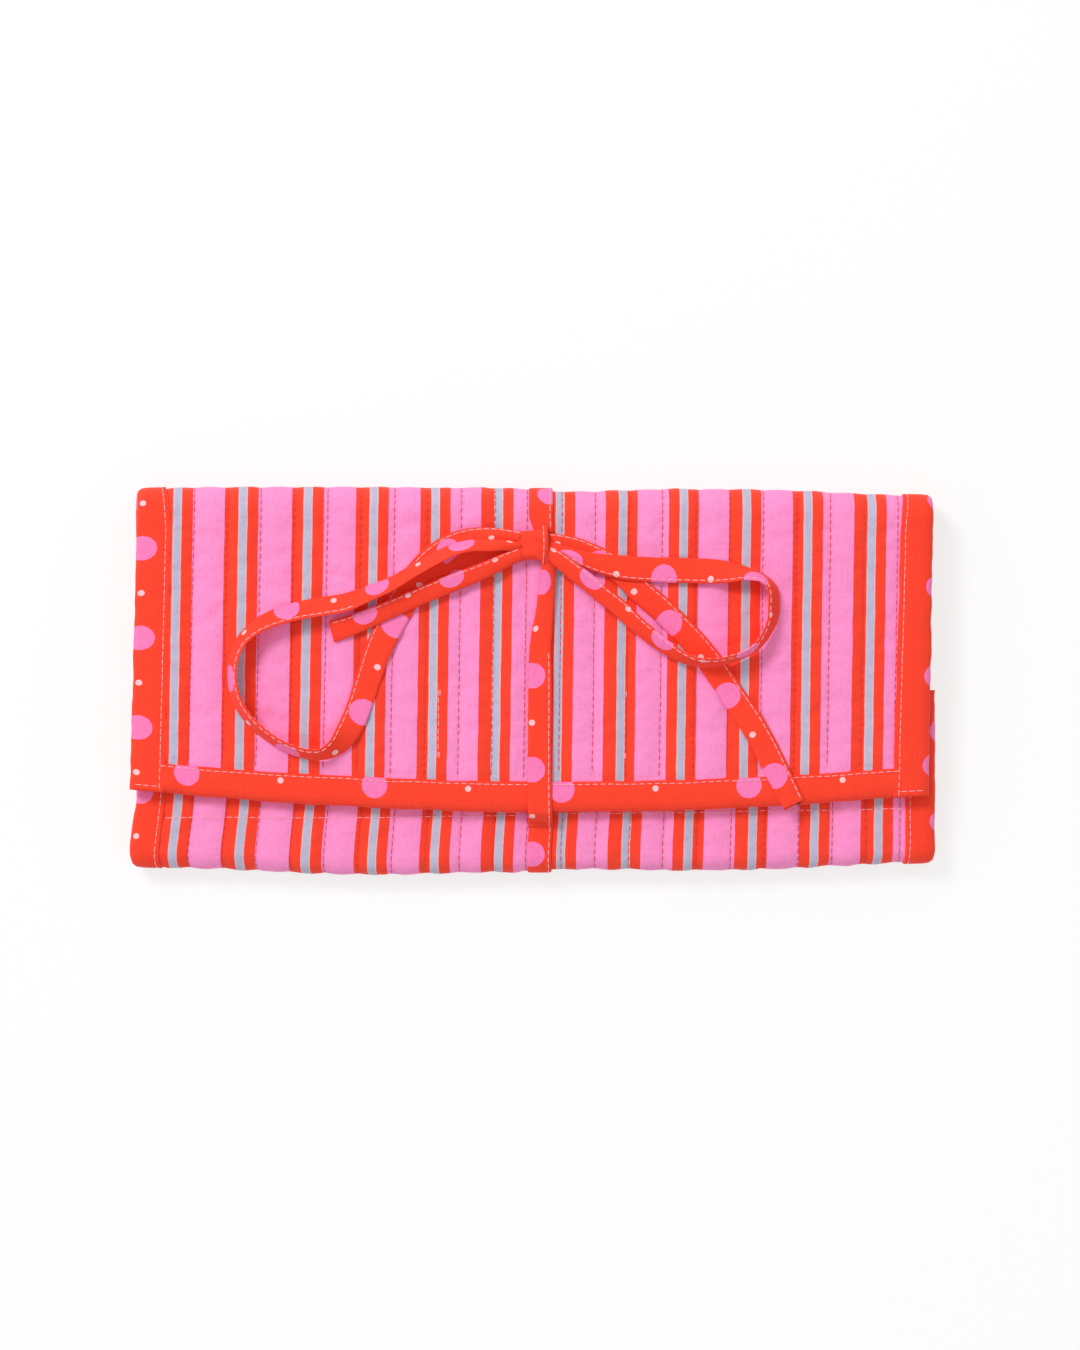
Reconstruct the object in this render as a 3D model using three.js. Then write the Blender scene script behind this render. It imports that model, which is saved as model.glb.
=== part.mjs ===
// A folded, quilted jewelry roll, tied shut with a flat cloth tie in a bow.
// Millimetres. X runs along the folds, Y from the bottom fold to the top fold, Z up from the table.
import * as THREE from "three";

// Folded roll
const rollWidth = 265;
const foldedDepth = 127;
const flapReach = 105;
const leafReach = 60;

// Quilt: striped outer cloth, wadding and lining, sewn through in straight rows
const outerClothThickness = 0.4;
const waddingThickness = 1.8;
const liningThickness = 0.4;
const quiltPitch = 11.13;
const quiltRowOffset = -1.8;
const puffHeight = 0.7;
const pressedPuff = 0.07;
const pressedRun = 4;
const puffSteps = 4;
const foldSteps = 8;

// Bindings along the sides and the two free edges
const bindingWidth = 10;
const bindingThickness = 0.7;

// Gaps between layers sewn together, and between pieces that move apart
const layerGap = 0.1;
const bodyGap = 0.3;

// Tie, bow and knot
const tieWidth = 7.6;
const tieThickness = 0.7;
const tieCentreX = 2.3;
const tieLift = 0.15;
const pinchedWidth = 3.2;
const pinchRun = 14;
const knotWidth = 8.6;
const knotDepth = 10.8;
const knotHeight = 5;
const knotCentreX = 0.6;
const knotFromFold = 20.3;
const knotRounding = 1.6;
const tapeStep = 6;
const bandStep = 2;
const leafBandOverlap = 5;
const dropStart = 2.5;
const bandSettled = 17.5;
const dropShares = [0.3, 0.7];

// Slip pocket inside the flap
const pocketClothThickness = 0.5;
const slipPocketGap = 0.9;
const slipPocketMouth = 65;
const slipDividerX = 31;
const seamWidth = 2.4;
const hemWidth = 6;
const hemThickness = 0.4;

// Zip pocket inside the leaf
const zipSeamRise = 18.3;
const zipFromEdge = 20;
const zipLength = 206;
const zipTapeWidth = 6;
const zipTapeThickness = 0.4;
const zipTapeTail = 6;
const zipRowGap = 2;
const toothPitch = 4;
const toothWidth = 2;
const toothReach = 1.2;
const toothSpine = 1;
const toothThickness = 1.2;
const stopLength = 3;
const sliderLength = 9;
const sliderWidth = 8;
const sliderPlate = 0.6;
const sliderNeck = 1.2;
const sliderRunGap = 0.2;
const sliderFromEnd = 6;
const pullLength = 16;
const pullWidth = 5;
const pullThickness = 0.7;
const pullWall = 1;
const bailLength = 1.2;
const bailWidth = 1.6;
const bailClearance = 0.7;

// Ring bar on the back panel, with its press stud
const barLength = 168;
const barTabLength = 13;
const barTaper = 9;
const barWidth = 13;
const barHeight = 6.2;
const barTabThickness = 1.2;
const barShoulder = 0.8;
const barCentreY = 24;
const barSides = 16;
const studFromEnd = 6;
const studRadius = 4.5;
const studBaseThickness = 0.6;
const studKnobRadius = 1.8;
const studKnobHeight = 1.5;
const socketHeight = 1.4;
const capHeight = 1.3;
const capEdge = { radius: 0.9, height: 0.6 };
const roundSegments = 24;

// Heights of the stacked panels, from the table up
const quiltThickness = outerClothThickness + waddingThickness + liningThickness + 2 * layerGap;
const proud = Math.max(layerGap + bindingThickness, layerGap + tieThickness, puffHeight);
const sliderHeight = toothThickness + 2 * (sliderRunGap + sliderPlate);
const backOuterZ = proud;
const backInnerZ = backOuterZ + quiltThickness;
const bindingRise = layerGap + bindingThickness;
const leafInnerZ = backInnerZ + Math.max(
  bodyGap + pullThickness + bodyGap + sliderHeight + bodyGap,
  2 * bindingRise + bodyGap,
);
const leafOuterZ = leafInnerZ + quiltThickness;
const leafTopZ = leafOuterZ + proud;
const flapInnerZ = leafTopZ + bodyGap + Math.max(pocketClothThickness + slipPocketGap, bindingRise);
const flapOuterZ = flapInnerZ + quiltThickness;
const bowFloorZ = flapOuterZ + proud;

// Folds and free edges
const topRadius = (flapOuterZ - backOuterZ) / 2;
const topArc = { y: foldedDepth / 2 - proud - topRadius, z: backOuterZ + topRadius };
const bottomRadius = (leafOuterZ - backOuterZ) / 2;
const bottomArc = { y: proud + bottomRadius - foldedDepth / 2, z: backOuterZ + bottomRadius };
const flapEdgeY = foldedDepth / 2 - flapReach;
const leafEdgeY = leafReach - foldedDepth / 2;
const innerHalfWidth = rollWidth / 2 - bindingWidth;
const layerHalfWidth = rollWidth / 2 - bindingThickness - layerGap;

const clothLook = (color, roughness = 0.9) => new THREE.MeshStandardMaterial({ color, roughness });
const metalLook = (color) => new THREE.MeshStandardMaterial({ color, roughness: 0.35, metalness: 1 });
const stripedCloth = clothLook(0xf98ac0);
const waddingFill = clothLook(0xf4f0e8);
const dottedCloth = clothLook(0xfb462f);
const tapeCloth = clothLook(0xf7a9cf, 0.8);
const toothPlastic = clothLook(0xf28fbd, 0.5);
const brassMetal = metalLook(0xd9b36a);

function piece(name, geometry, material) {
  const mesh = new THREE.Mesh(geometry, material);
  mesh.name = name;
  return mesh;
}

function groupOf(...pieces) {
  const group = new THREE.Group();
  group.add(...pieces);
  return group;
}

function signedVolume(positions, faces) {
  const corner = (index) => new THREE.Vector3().fromArray(positions, 3 * index);
  let sum = 0;
  for (let f = 0; f < faces.length; f += 3) {
    sum += corner(faces[f]).dot(corner(faces[f + 1]).cross(corner(faces[f + 2])));
  }
  return sum / 6;
}

// A closed solid through a row of rings with equally many points. The two flat outlines fill its ends.
function solidThrough(rings, firstOutline, lastOutline) {
  const count = rings[0].length;
  const positions = rings.flat().flatMap((point) => point.toArray());
  const faces = [];
  for (let ring = 0; ring + 1 < rings.length; ring += 1) {
    const near = ring * count;
    const far = near + count;
    for (let index = 0; index < count; index += 1) {
      const next = (index + 1) % count;
      faces.push(near + index, near + next, far + next);
      faces.push(near + index, far + next, far + index);
    }
  }
  const last = (rings.length - 1) * count;
  const turn = THREE.ShapeUtils.isClockWise(firstOutline) ? -1 : 1;
  for (const [a, b, c] of THREE.ShapeUtils.triangulateShape(firstOutline, [])) {
    faces.push(...(turn > 0 ? [c, b, a] : [a, b, c]));
  }
  for (const [a, b, c] of THREE.ShapeUtils.triangulateShape(lastOutline, [])) {
    faces.push(...(turn > 0 ? [a, b, c] : [c, b, a]).map((i) => last + i));
  }
  if (signedVolume(positions, faces) < 0) faces.reverse();
  const geometry = new THREE.BufferGeometry();
  geometry.setAttribute("position", new THREE.Float32BufferAttribute(positions, 3));
  geometry.setIndex(faces);
  geometry.computeVertexNormals();
  return geometry;
}

function block(low, high) {
  const size = high.map((value, axis) => value - low[axis]);
  const middle = high.map((value, axis) => (value + low[axis]) / 2);
  return new THREE.BoxGeometry(...size).translate(...middle);
}

function slab(shape, lowZ, highZ) {
  const geometry = new THREE.ExtrudeGeometry(shape, { depth: highZ - lowZ, bevelEnabled: false });
  return geometry.translate(0, 0, lowZ);
}

function turned(profile, x, y, z) {
  const points = profile.map(([radius, height]) => new THREE.Vector2(radius, height));
  return new THREE.LatheGeometry(points, roundSegments).rotateX(Math.PI / 2).translate(x, y, z);
}

function rectangle(lowX, lowY, highX, highY) {
  return [[lowX, lowY], [highX, lowY], [highX, highY], [lowX, highY]];
}

function outline(points) {
  return points.map(([x, y]) => new THREE.Vector2(x, y));
}

// Stations along the cloth's outer face: where it lies and which way is out.
// puff is the share of the full puff.
const straight = (y, z, out, puff = 1) => ({ y, z, outY: 0, outZ: out, puff });

function foldStations(arc, radius, side) {
  return Array.from({ length: foldSteps + 1 }, (_, step) => {
    const angle = Math.PI * (step / foldSteps - 0.5);
    const outY = side * Math.cos(angle);
    const outZ = Math.sin(angle);
    return { y: arc.y + radius * outY, z: arc.z + radius * outZ, outY, outZ, puff: 1 };
  });
}

const pressed = pressedPuff / puffHeight;
const stretches = {
  back: [straight(bottomArc.y, backOuterZ, -1), straight(topArc.y, backOuterZ, -1)],
  top_fold: foldStations(topArc, topRadius, 1),
  bottom_fold: foldStations(bottomArc, bottomRadius, -1),
  flap: [
    straight(topArc.y, flapOuterZ, 1),
    straight(flapEdgeY + bindingWidth + layerGap + pressedRun, flapOuterZ, 1),
    straight(flapEdgeY + bindingWidth + layerGap, flapOuterZ, 1, pressed),
    straight(flapEdgeY + bindingThickness + layerGap, flapOuterZ, 1, pressed),
  ],
  leaf: [
    straight(bottomArc.y, leafOuterZ, 1),
    straight(leafEdgeY - bindingWidth - layerGap - pressedRun, leafOuterZ, 1),
    straight(leafEdgeY - bindingWidth - layerGap, leafOuterZ, 1, pressed),
    straight(leafEdgeY - bindingThickness - layerGap, leafOuterZ, 1, pressed),
  ],
};

// Sweeps an outline of [x, depth under the outer face] along a stretch of the cloth.
function alongCloth(stations, outlineAt) {
  const rings = stations.map((at) => outlineAt(at).map(
    ([x, depth]) => new THREE.Vector3(x, at.y - at.outY * depth, at.z - at.outZ * depth),
  ));
  return solidThrough(rings, outline(outlineAt(stations[0])), outline(outlineAt(stations.at(-1))));
}

// Rows where the outer cloth is drawn down: the quilting rows, the bindings and the two sides of the tie.
function drawnRows() {
  const tieHalf = tieWidth / 2 + bodyGap;
  const tieSides = [tieCentreX - tieHalf, tieCentreX + tieHalf];
  const rows = [-innerHalfWidth, ...tieSides, innerHalfWidth];
  const reach = Math.ceil(rollWidth / quiltPitch);
  for (let row = -reach; row <= reach; row += 1) {
    const x = quiltRowOffset + row * quiltPitch;
    const nearTie = x > tieSides[0] - puffHeight && x < tieSides[1] + puffHeight;
    const onQuilt = Math.abs(x) < innerHalfWidth - puffHeight;
    if (onQuilt && !nearTie) rows.push(x);
  }
  return { rows: rows.sort((a, b) => a - b), tieLeft: tieSides[0] };
}

function puffedOutline(at) {
  const { rows, tieLeft } = drawnRows();
  const top = [[-layerHalfWidth, 0]];
  rows.forEach((row, index) => {
    top.push([row, 0]);
    const next = rows[index + 1];
    if (next === undefined || row === tieLeft) return;
    const height = at.puff * puffHeight * Math.min(1, (next - row) / quiltPitch);
    for (let step = 1; step < puffSteps; step += 1) {
      const share = step / puffSteps;
      top.push([row + share * (next - row), -height * Math.sqrt(Math.sin(Math.PI * share))]);
    }
  });
  top.push([layerHalfWidth, 0]);
  return [...top, [layerHalfWidth, outerClothThickness], [-layerHalfWidth, outerClothThickness]];
}

const layerOutline = (near, far) => () => rectangle(-layerHalfWidth, near, layerHalfWidth, far);
const waddingDepth = outerClothThickness + layerGap;
const liningDepth = waddingDepth + waddingThickness + layerGap;

// A strip folded round an edge, seen end on: edge is its outer side, reach its leg,
// near and far the cloth's faces.
function wrapOutline(edge, reach, near, far) {
  const inward = Math.sign(reach);
  const skin = bindingThickness;
  return [
    [edge, near - layerGap - skin], [edge, far + layerGap + skin],
    [edge + reach, far + layerGap + skin], [edge + reach, far + layerGap],
    [edge + inward * skin, far + layerGap], [edge + inward * skin, near - layerGap],
    [edge + reach, near - layerGap], [edge + reach, near - layerGap - skin],
  ];
}

function sideBinding(stretch, side) {
  const stations = stretches[stretch].map((at) => ({ ...at }));
  if (stretch === "flap") stations.at(-1).y = flapEdgeY;
  if (stretch === "leaf") stations.at(-1).y = leafEdgeY;
  const ends = stretch.endsWith("fold") ? stations : [stations[0], stations.at(-1)];
  const profile = wrapOutline(side * rollWidth / 2, -side * bindingWidth, 0, quiltThickness);
  return alongCloth(ends, () => profile);
}

function endBinding(edgeY, inward, innerZ, outerZ) {
  const reach = innerHalfWidth - layerGap;
  const profile = wrapOutline(edgeY, inward * bindingWidth, innerZ, outerZ);
  const rings = [-reach, reach].map((x) => profile.map(([y, z]) => new THREE.Vector3(x, y, z)));
  return solidThrough(rings, outline(profile), outline(profile));
}

function quiltedStretch(name) {
  const stations = stretches[name];
  const ends = name.endsWith("fold") ? stations : [stations[0], stations.at(-1)];
  const waddingOutline = layerOutline(waddingDepth, waddingDepth + waddingThickness);
  const liningOutline = layerOutline(liningDepth, liningDepth + liningThickness);
  return groupOf(
    piece(`${name}_outer_cloth`, alongCloth(stations, puffedOutline), stripedCloth),
    piece(`${name}_wadding`, alongCloth(ends, waddingOutline), waddingFill),
    piece(`${name}_lining`, alongCloth(ends, liningOutline), dottedCloth),
    piece(`${name}_binding_left`, sideBinding(name, -1), dottedCloth),
    piece(`${name}_binding_right`, sideBinding(name, 1), dottedCloth),
  );
}

// Flat tape along a route of [x, y, lift off the flap, roll in degrees].
// Roll raises the edge on the route's left.
function tape(route, { pinchStart = false, pinchEnd = false, stepLength = tapeStep } = {}) {
  const halfWidth = tieWidth / 2;
  const halfThick = tieThickness / 2;
  const points = route.map(([x, y, lift, roll]) => {
    const tilt = THREE.MathUtils.degToRad(Math.abs(roll));
    const rise = halfWidth * Math.sin(tilt) + halfThick * Math.cos(tilt);
    return new THREE.Vector3(x, y, bowFloorZ + lift + rise);
  });
  const curve = new THREE.CatmullRomCurve3(points);
  const length = curve.getLength();
  const steps = Math.max(4, Math.round(length / stepLength));
  const up = new THREE.Vector3(0, 0, 1);
  const rings = Array.from({ length: steps + 1 }, (_, step) => {
    const along = curve.getUtoTmapping(step / steps);
    const place = along * (route.length - 1);
    const before = Math.min(Math.floor(place), route.length - 2);
    const roll = THREE.MathUtils.lerp(route[before][3], route[before + 1][3], place - before);
    const forward = curve.getTangent(along);
    const across = up.clone().cross(forward).normalize();
    across.applyAxisAngle(forward, THREE.MathUtils.degToRad(roll));
    const normal = forward.clone().cross(across);
    const run = (step / steps) * length;
    const fromPinch = Math.min(pinchStart ? run : Infinity, pinchEnd ? length - run : Infinity);
    const share = THREE.MathUtils.smoothstep(fromPinch, 0, pinchRun);
    const half = THREE.MathUtils.lerp(pinchedWidth / 2, halfWidth, share);
    const centre = curve.getPoint(along);
    return rectangle(-half, -halfThick, half, halfThick).map(
      ([side, height]) => centre.clone().addScaledVector(across, side).addScaledVector(normal, height),
    );
  });
  const end = outline(rectangle(-halfWidth, -halfThick, halfWidth, halfThick));
  return solidThrough(rings, end, end);
}

const knotCentreY = foldedDepth / 2 - knotFromFold;
const knotLeftX = knotCentreX - knotWidth / 2 - bodyGap;
const knotRightX = knotCentreX + knotWidth / 2 + bodyGap;

// Routes of [x, distance from the knot along y, lift, roll].
const fromKnot = ([x, y, lift, roll]) => [x, knotCentreY + y, lift, roll];

const leftLoopRoute = [
  [knotLeftX, 0.9, 1.9, 0], [-9, 0.3, 1.9, 0], [-15, 0.5, 1.9, 0], [-20.5, 0.5, 1.8, 0],
  [-26.5, -0.4, 1.7, 6], [-33, -3.4, 1.6, 14], [-40, -8.6, 1.5, 22], [-47, -12.9, 1.4, 28],
  [-54, -16, 1.2, 32], [-62, -18.2, 0.9, 34], [-70, -19.3, 0.6, 35], [-78, -20.7, 0.4, 37],
  [-85, -22.8, 0.3, 42], [-91.5, -26.2, 0.3, 52], [-96.3, -31, 0.3, 60], [-98.7, -38, 0.3, 64],
  [-98.7, -45, 0.3, 65], [-96.7, -51.5, 0.3, 65], [-93.2, -56.6, 0.3, 65], [-88, -61.3, 0.3, 66],
  [-81.8, -65.2, 0.3, 67], [-75.4, -67.5, 0.3, 67], [-69.6, -67.8, 0.3, 62], [-65, -65.4, 0.3, 42],
  [-61.4, -60.9, 0.25, 18], [-58.5, -55.2, 0.2, 4], [-54.4, -43.2, tieLift, 0], [-51, -33.2, tieLift, 0],
  [-46, -22.9, tieLift, 0], [-42, -15.6, tieLift, 0], [-38, -9.9, tieLift, 0], [-33.6, -4.5, tieLift, 0],
  [-28.5, -0.2, tieLift, 0], [-23.4, 2.4, tieLift, 0], [-16.8, 3.8, 0.2, 0], [-10, 4.5, 0.6, 0],
  [knotLeftX, 4.7, 1.3, 0],
].map(fromKnot);

const rightLoopRoute = [
  [knotRightX + 1.3, -2.7, 3, 0], [12.9, -6.2, 2.9, 6], [25.1, -16.6, 2.2, 14], [35.6, -26.2, 1.7, 32],
  [46.9, -34, 1.5, 55], [58.4, -37.6, 1.5, 74], [68.2, -35.4, 1, 84], [76.4, -28.6, 0.4, 90],
  [80.4, -19.8, 0.3, 90], [77.6, -12.2, 0.3, 72], [69.6, -7.8, 0.3, 28], [50.8, -6.6, 0.6, 4],
  [35.6, -5.7, 1.5, 0], [21.8, -3.4, 1.7, 0], [11, 0, 1.8, 0], [knotRightX + 0.6, 1.3, 1.8, 0],
].map(fromKnot);

const leftTailRoute = [
  [knotLeftX - 0.7, -2.8, 1.9, -10], [-13.9, -5.8, 1.7, -18], [-24, -9.6, 1.5, -14], [-38, -15.4, 1.4, -4],
  [-46.2, -18.9, 1.4, 0], [-56.6, -23.8, 1, 0], [-64.7, -28.2, 0.5, 0],
].map(fromKnot);

const rightTailRoute = [
  [knotRightX + 0.6, 4.6, 1.2, 0], [10.6, 3.4, 0.5, 0], [15.5, 1.4, 0.2, 0], [20.5, -1.2, tieLift, 0],
  [25.5, -4.4, tieLift, 0], [30.5, -8.8, tieLift, 0], [35.7, -14.2, tieLift, 0], [42.1, -20, tieLift, 0],
  [52, -29.7, tieLift, 0], [57, -35.5, tieLift, 0], [62.6, -43.5, tieLift, 0], [66.6, -49.5, tieLift, 0],
  [71.5, -56.7, tieLift, 0], [76.4, -65.2, tieLift, 0], [81.3, -75, tieLift, 0], [86, -84, tieLift, 0],
].map(fromKnot);

// The band from the knot to the flap's free edge, and over it down to the leaf.
const flapDrop = bowFloorZ - leafTopZ;
const bandBend = bodyGap + tieThickness;
const bandEndY = flapEdgeY - bandBend - leafBandOverlap;
const bandDropY = flapEdgeY - dropStart * bandBend;
const frontBandRoute = [
  fromKnot([5, -knotDepth / 2 - bodyGap, 1, 0]), fromKnot([4.6, -17.2, 0.4, 0]),
  fromKnot([3.5, -31.2, tieLift, 0]), fromKnot([2.6, -49.2, tieLift, 0]),
  [tieCentreX, flapEdgeY + bandSettled, tieLift, 0], [tieCentreX, flapEdgeY + bandBend, tieLift, 0],
  [tieCentreX, flapEdgeY - bandBend, tieLift, 0],
  [tieCentreX, bandDropY, -dropShares[0] * flapDrop, 0],
  [tieCentreX, (bandDropY + bandEndY) / 2, -dropShares[1] * flapDrop, 0],
  [tieCentreX, bandEndY, bodyGap - flapDrop, 0],
];

const bandOutline = () => rectangle(
  tieCentreX - tieWidth / 2, -layerGap - tieThickness, tieCentreX + tieWidth / 2, -layerGap,
);
const knotFarY = knotCentreY + knotDepth / 2;

function bowKnot() {
  const halfX = knotWidth / 2 - knotRounding;
  const halfY = knotDepth / 2 - knotRounding;
  const shape = new THREE.Shape(outline(rectangle(-halfX, -halfY, halfX, halfY)));
  const bevel = { bevelThickness: knotRounding, bevelSize: knotRounding, bevelSegments: 4 };
  const geometry = new THREE.ExtrudeGeometry(shape, { depth: knotHeight - 2 * knotRounding, ...bevel });
  return geometry.translate(knotCentreX, knotCentreY, bowFloorZ + knotRounding + layerGap);
}

function tieOnRoll() {
  const topBandStations = [straight(topArc.y, flapOuterZ, 1), straight(knotFarY + bodyGap, flapOuterZ, 1)];
  const leafBandStart = flapEdgeY - bodyGap - tieThickness;
  const leafBandStations = [straight(bottomArc.y, leafOuterZ, 1), straight(leafBandStart, leafOuterZ, 1)];
  return groupOf(
    piece("tie_back_band", alongCloth(stretches.back, bandOutline), dottedCloth),
    piece("tie_top_fold_band", alongCloth(stretches.top_fold, bandOutline), dottedCloth),
    piece("tie_bottom_fold_band", alongCloth(stretches.bottom_fold, bandOutline), dottedCloth),
    piece("tie_top_band", alongCloth(topBandStations, bandOutline), dottedCloth),
    piece("tie_leaf_band", alongCloth(leafBandStations, bandOutline), dottedCloth),
    piece("tie_front_band", tape(frontBandRoute, { pinchStart: true, stepLength: bandStep }), dottedCloth),
    piece("bow_knot", bowKnot(), dottedCloth),
    piece("left_loop", tape(leftLoopRoute, { pinchStart: true, pinchEnd: true }), dottedCloth),
    piece("right_loop", tape(rightLoopRoute, { pinchStart: true, pinchEnd: true }), dottedCloth),
    piece("left_tail", tape(leftTailRoute, { pinchStart: true }), dottedCloth),
    piece("right_tail", tape(rightTailRoute, { pinchStart: true }), dottedCloth),
  );
}

// Three compartments along the flap's free edge: a panel on seams, with a hem at its mouth.
function slipPocket() {
  const halfWidth = innerHalfWidth - bodyGap;
  const lowY = flapEdgeY + bindingWidth + bodyGap;
  const mouthY = foldedDepth / 2 - slipPocketMouth;
  const panelTop = flapInnerZ - slipPocketGap;
  const uprights = [-halfWidth, -slipDividerX - seamWidth / 2, slipDividerX - seamWidth / 2];
  const seams = [[-halfWidth, lowY], [halfWidth, lowY], [halfWidth, mouthY - hemWidth - layerGap]];
  const rises = [halfWidth - seamWidth, ...uprights.slice(1).reverse(), uprights[0]];
  rises.forEach((x, index) => {
    const top = mouthY - hemWidth - layerGap;
    const right = index === 0 ? null : x + seamWidth;
    if (right !== null) seams.push([right, lowY + seamWidth], [right, top]);
    seams.push([x, top]);
    if (index < rises.length - 1) seams.push([x, lowY + seamWidth]);
  });
  const hemLow = [-halfWidth, mouthY - hemWidth, panelTop + layerGap];
  const panelLow = [-halfWidth, lowY, panelTop - pocketClothThickness];
  return groupOf(
    piece("slip_pocket_panel", block(panelLow, [halfWidth, mouthY, panelTop]), dottedCloth),
    piece("slip_pocket_hem", block(hemLow, [halfWidth, mouthY, hemLow[2] + hemThickness]), stripedCloth),
    piece("slip_pocket_seams", slab(
      new THREE.Shape(outline(seams)), panelTop + layerGap, flapInnerZ - layerGap,
    ), dottedCloth),
  );
}

// Heights and rows of the zip, shared by its pocket, tapes, teeth and slider.
const zipY = leafEdgeY - zipFromEdge;
const zipMidZ = leafInnerZ - bodyGap - sliderHeight / 2;
const tapeTopZ = zipMidZ + zipTapeThickness / 2;
const rowDepth = toothReach + toothSpine;
const tapeInner = zipRowGap / 2 + rowDepth + layerGap;

function zipPocket() {
  const halfWidth = innerHalfWidth - bodyGap;
  const seamY = zipSeamRise - foldedDepth / 2;
  const frameLow = seamY - seamWidth / 2;
  const frameHigh = leafEdgeY - bindingWidth - bodyGap;
  const frame = new THREE.Shape(outline(rectangle(-halfWidth, frameLow, halfWidth, frameHigh)));
  const holeHigh = zipY + sliderWidth / 2 + bodyGap;
  const hole = rectangle(-halfWidth + seamWidth, frameLow + seamWidth, halfWidth - seamWidth, holeHigh);
  frame.holes.push(new THREE.Path(outline(hole)));
  const panelHigh = zipY - tapeInner - zipTapeWidth - layerGap;
  const panelLowZ = tapeTopZ - pocketClothThickness;
  const panel = block([-halfWidth, frameLow, panelLowZ], [halfWidth, panelHigh, tapeTopZ]);
  return groupOf(
    piece("zip_pocket_panel", panel, dottedCloth),
    piece("zip_pocket_seams", slab(frame, tapeTopZ + layerGap, leafInnerZ - layerGap), dottedCloth),
  );
}

function zipTeeth(side) {
  const count = Math.floor(zipLength / toothPitch);
  const near = zipY + side * zipRowGap / 2;
  const root = near + side * toothReach;
  const far = root + side * toothSpine;
  const points = [[-zipLength / 2, far], [-zipLength / 2, root]];
  for (let tooth = 0; tooth < count; tooth += 1) {
    const left = (tooth - count / 2) * toothPitch + (toothPitch - toothWidth) / 2;
    points.push([left, root], [left, near], [left + toothWidth, near], [left + toothWidth, root]);
  }
  points.push([zipLength / 2, root], [zipLength / 2, far]);
  const half = toothThickness / 2;
  return slab(new THREE.Shape(outline(points)), zipMidZ - half, zipMidZ + half);
}

function zipTape(side) {
  const halfLength = zipLength / 2 + zipTapeTail;
  const ys = [zipY + side * tapeInner, zipY + side * (tapeInner + zipTapeWidth)].sort((a, b) => a - b);
  return block([-halfLength, ys[0], tapeTopZ - zipTapeThickness], [halfLength, ys[1], tapeTopZ]);
}

function zipStop(side) {
  const xs = [zipLength / 2 + layerGap, zipLength / 2 + layerGap + stopLength].map((x) => side * x);
  const reach = tapeInner - layerGap;
  const half = toothThickness / 2;
  return block(
    [Math.min(...xs), zipY - reach, zipMidZ - half],
    [Math.max(...xs), zipY + reach, zipMidZ + half],
  );
}

const sliderX = sliderFromEnd + sliderLength / 2 - zipLength / 2;
const sliderLowZ = zipMidZ - sliderHeight / 2;
const bailX = sliderX - sliderLength / 2;

// Two plates on a neck that runs between the rows of teeth.
function zipSlider() {
  const wide = sliderWidth / 2;
  const neck = sliderNeck / 2;
  const high = sliderHeight / 2;
  const inner = high - sliderPlate;
  const half = [[-wide, -high], [wide, -high], [wide, -inner], [neck, -inner], [neck, inner], [wide, inner]];
  const section = [...half, ...half.map(([y, z]) => [-y, -z])];
  const rings = [bailX, bailX + sliderLength].map(
    (x) => section.map(([y, z]) => new THREE.Vector3(x, zipY + y, zipMidZ + z)),
  );
  return solidThrough(rings, outline(section), outline(section));
}

const pullHighZ = sliderLowZ - bodyGap;
const pullLowZ = pullHighZ - pullThickness;

function zipBail() {
  const half = bailWidth / 2;
  return block([bailX, zipY - half, pullLowZ], [bailX + bailLength, zipY + half, sliderLowZ - layerGap]);
}

function zipPull() {
  const half = pullWidth / 2;
  const slotLow = bailX - bailClearance;
  const slotHigh = bailX + bailLength + bailClearance;
  const startX = slotLow - pullWall;
  const endX = startX + pullLength;
  const shape = new THREE.Shape();
  shape.moveTo(startX, zipY - half);
  shape.lineTo(endX - half, zipY - half);
  shape.absarc(endX - half, zipY, half, -Math.PI / 2, Math.PI / 2, false);
  shape.lineTo(startX, zipY + half);
  const slotHalf = bailWidth / 2 + bodyGap;
  const slot = rectangle(slotLow, zipY - slotHalf, slotHigh, zipY + slotHalf);
  shape.holes.push(new THREE.Path(outline(slot)));
  const depth = pullThickness;
  const geometry = new THREE.ExtrudeGeometry(shape, { depth, bevelEnabled: false, curveSegments: 10 });
  return geometry.translate(0, 0, pullLowZ);
}

function zip() {
  return groupOf(
    piece("zip_tape_upper", zipTape(1), tapeCloth),
    piece("zip_tape_lower", zipTape(-1), tapeCloth),
    piece("zip_teeth_upper", zipTeeth(1), toothPlastic),
    piece("zip_teeth_lower", zipTeeth(-1), toothPlastic),
    piece("zip_stop_left", zipStop(-1), brassMetal),
    piece("zip_stop_right", zipStop(1), brassMetal),
    piece("zip_slider", zipSlider(), brassMetal),
    piece("zip_bail", zipBail(), brassMetal),
    piece("zip_pull", zipPull(), brassMetal),
  );
}

// A padded bar, sewn down at its left tab and held by a press stud at its right tab.
const studX = barLength / 2 - studFromEnd;
const studLowZ = backInnerZ + layerGap;
const socketLowZ = studLowZ + studBaseThickness + bodyGap;
const rightTabZ = socketLowZ + socketHeight + layerGap;

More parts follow.
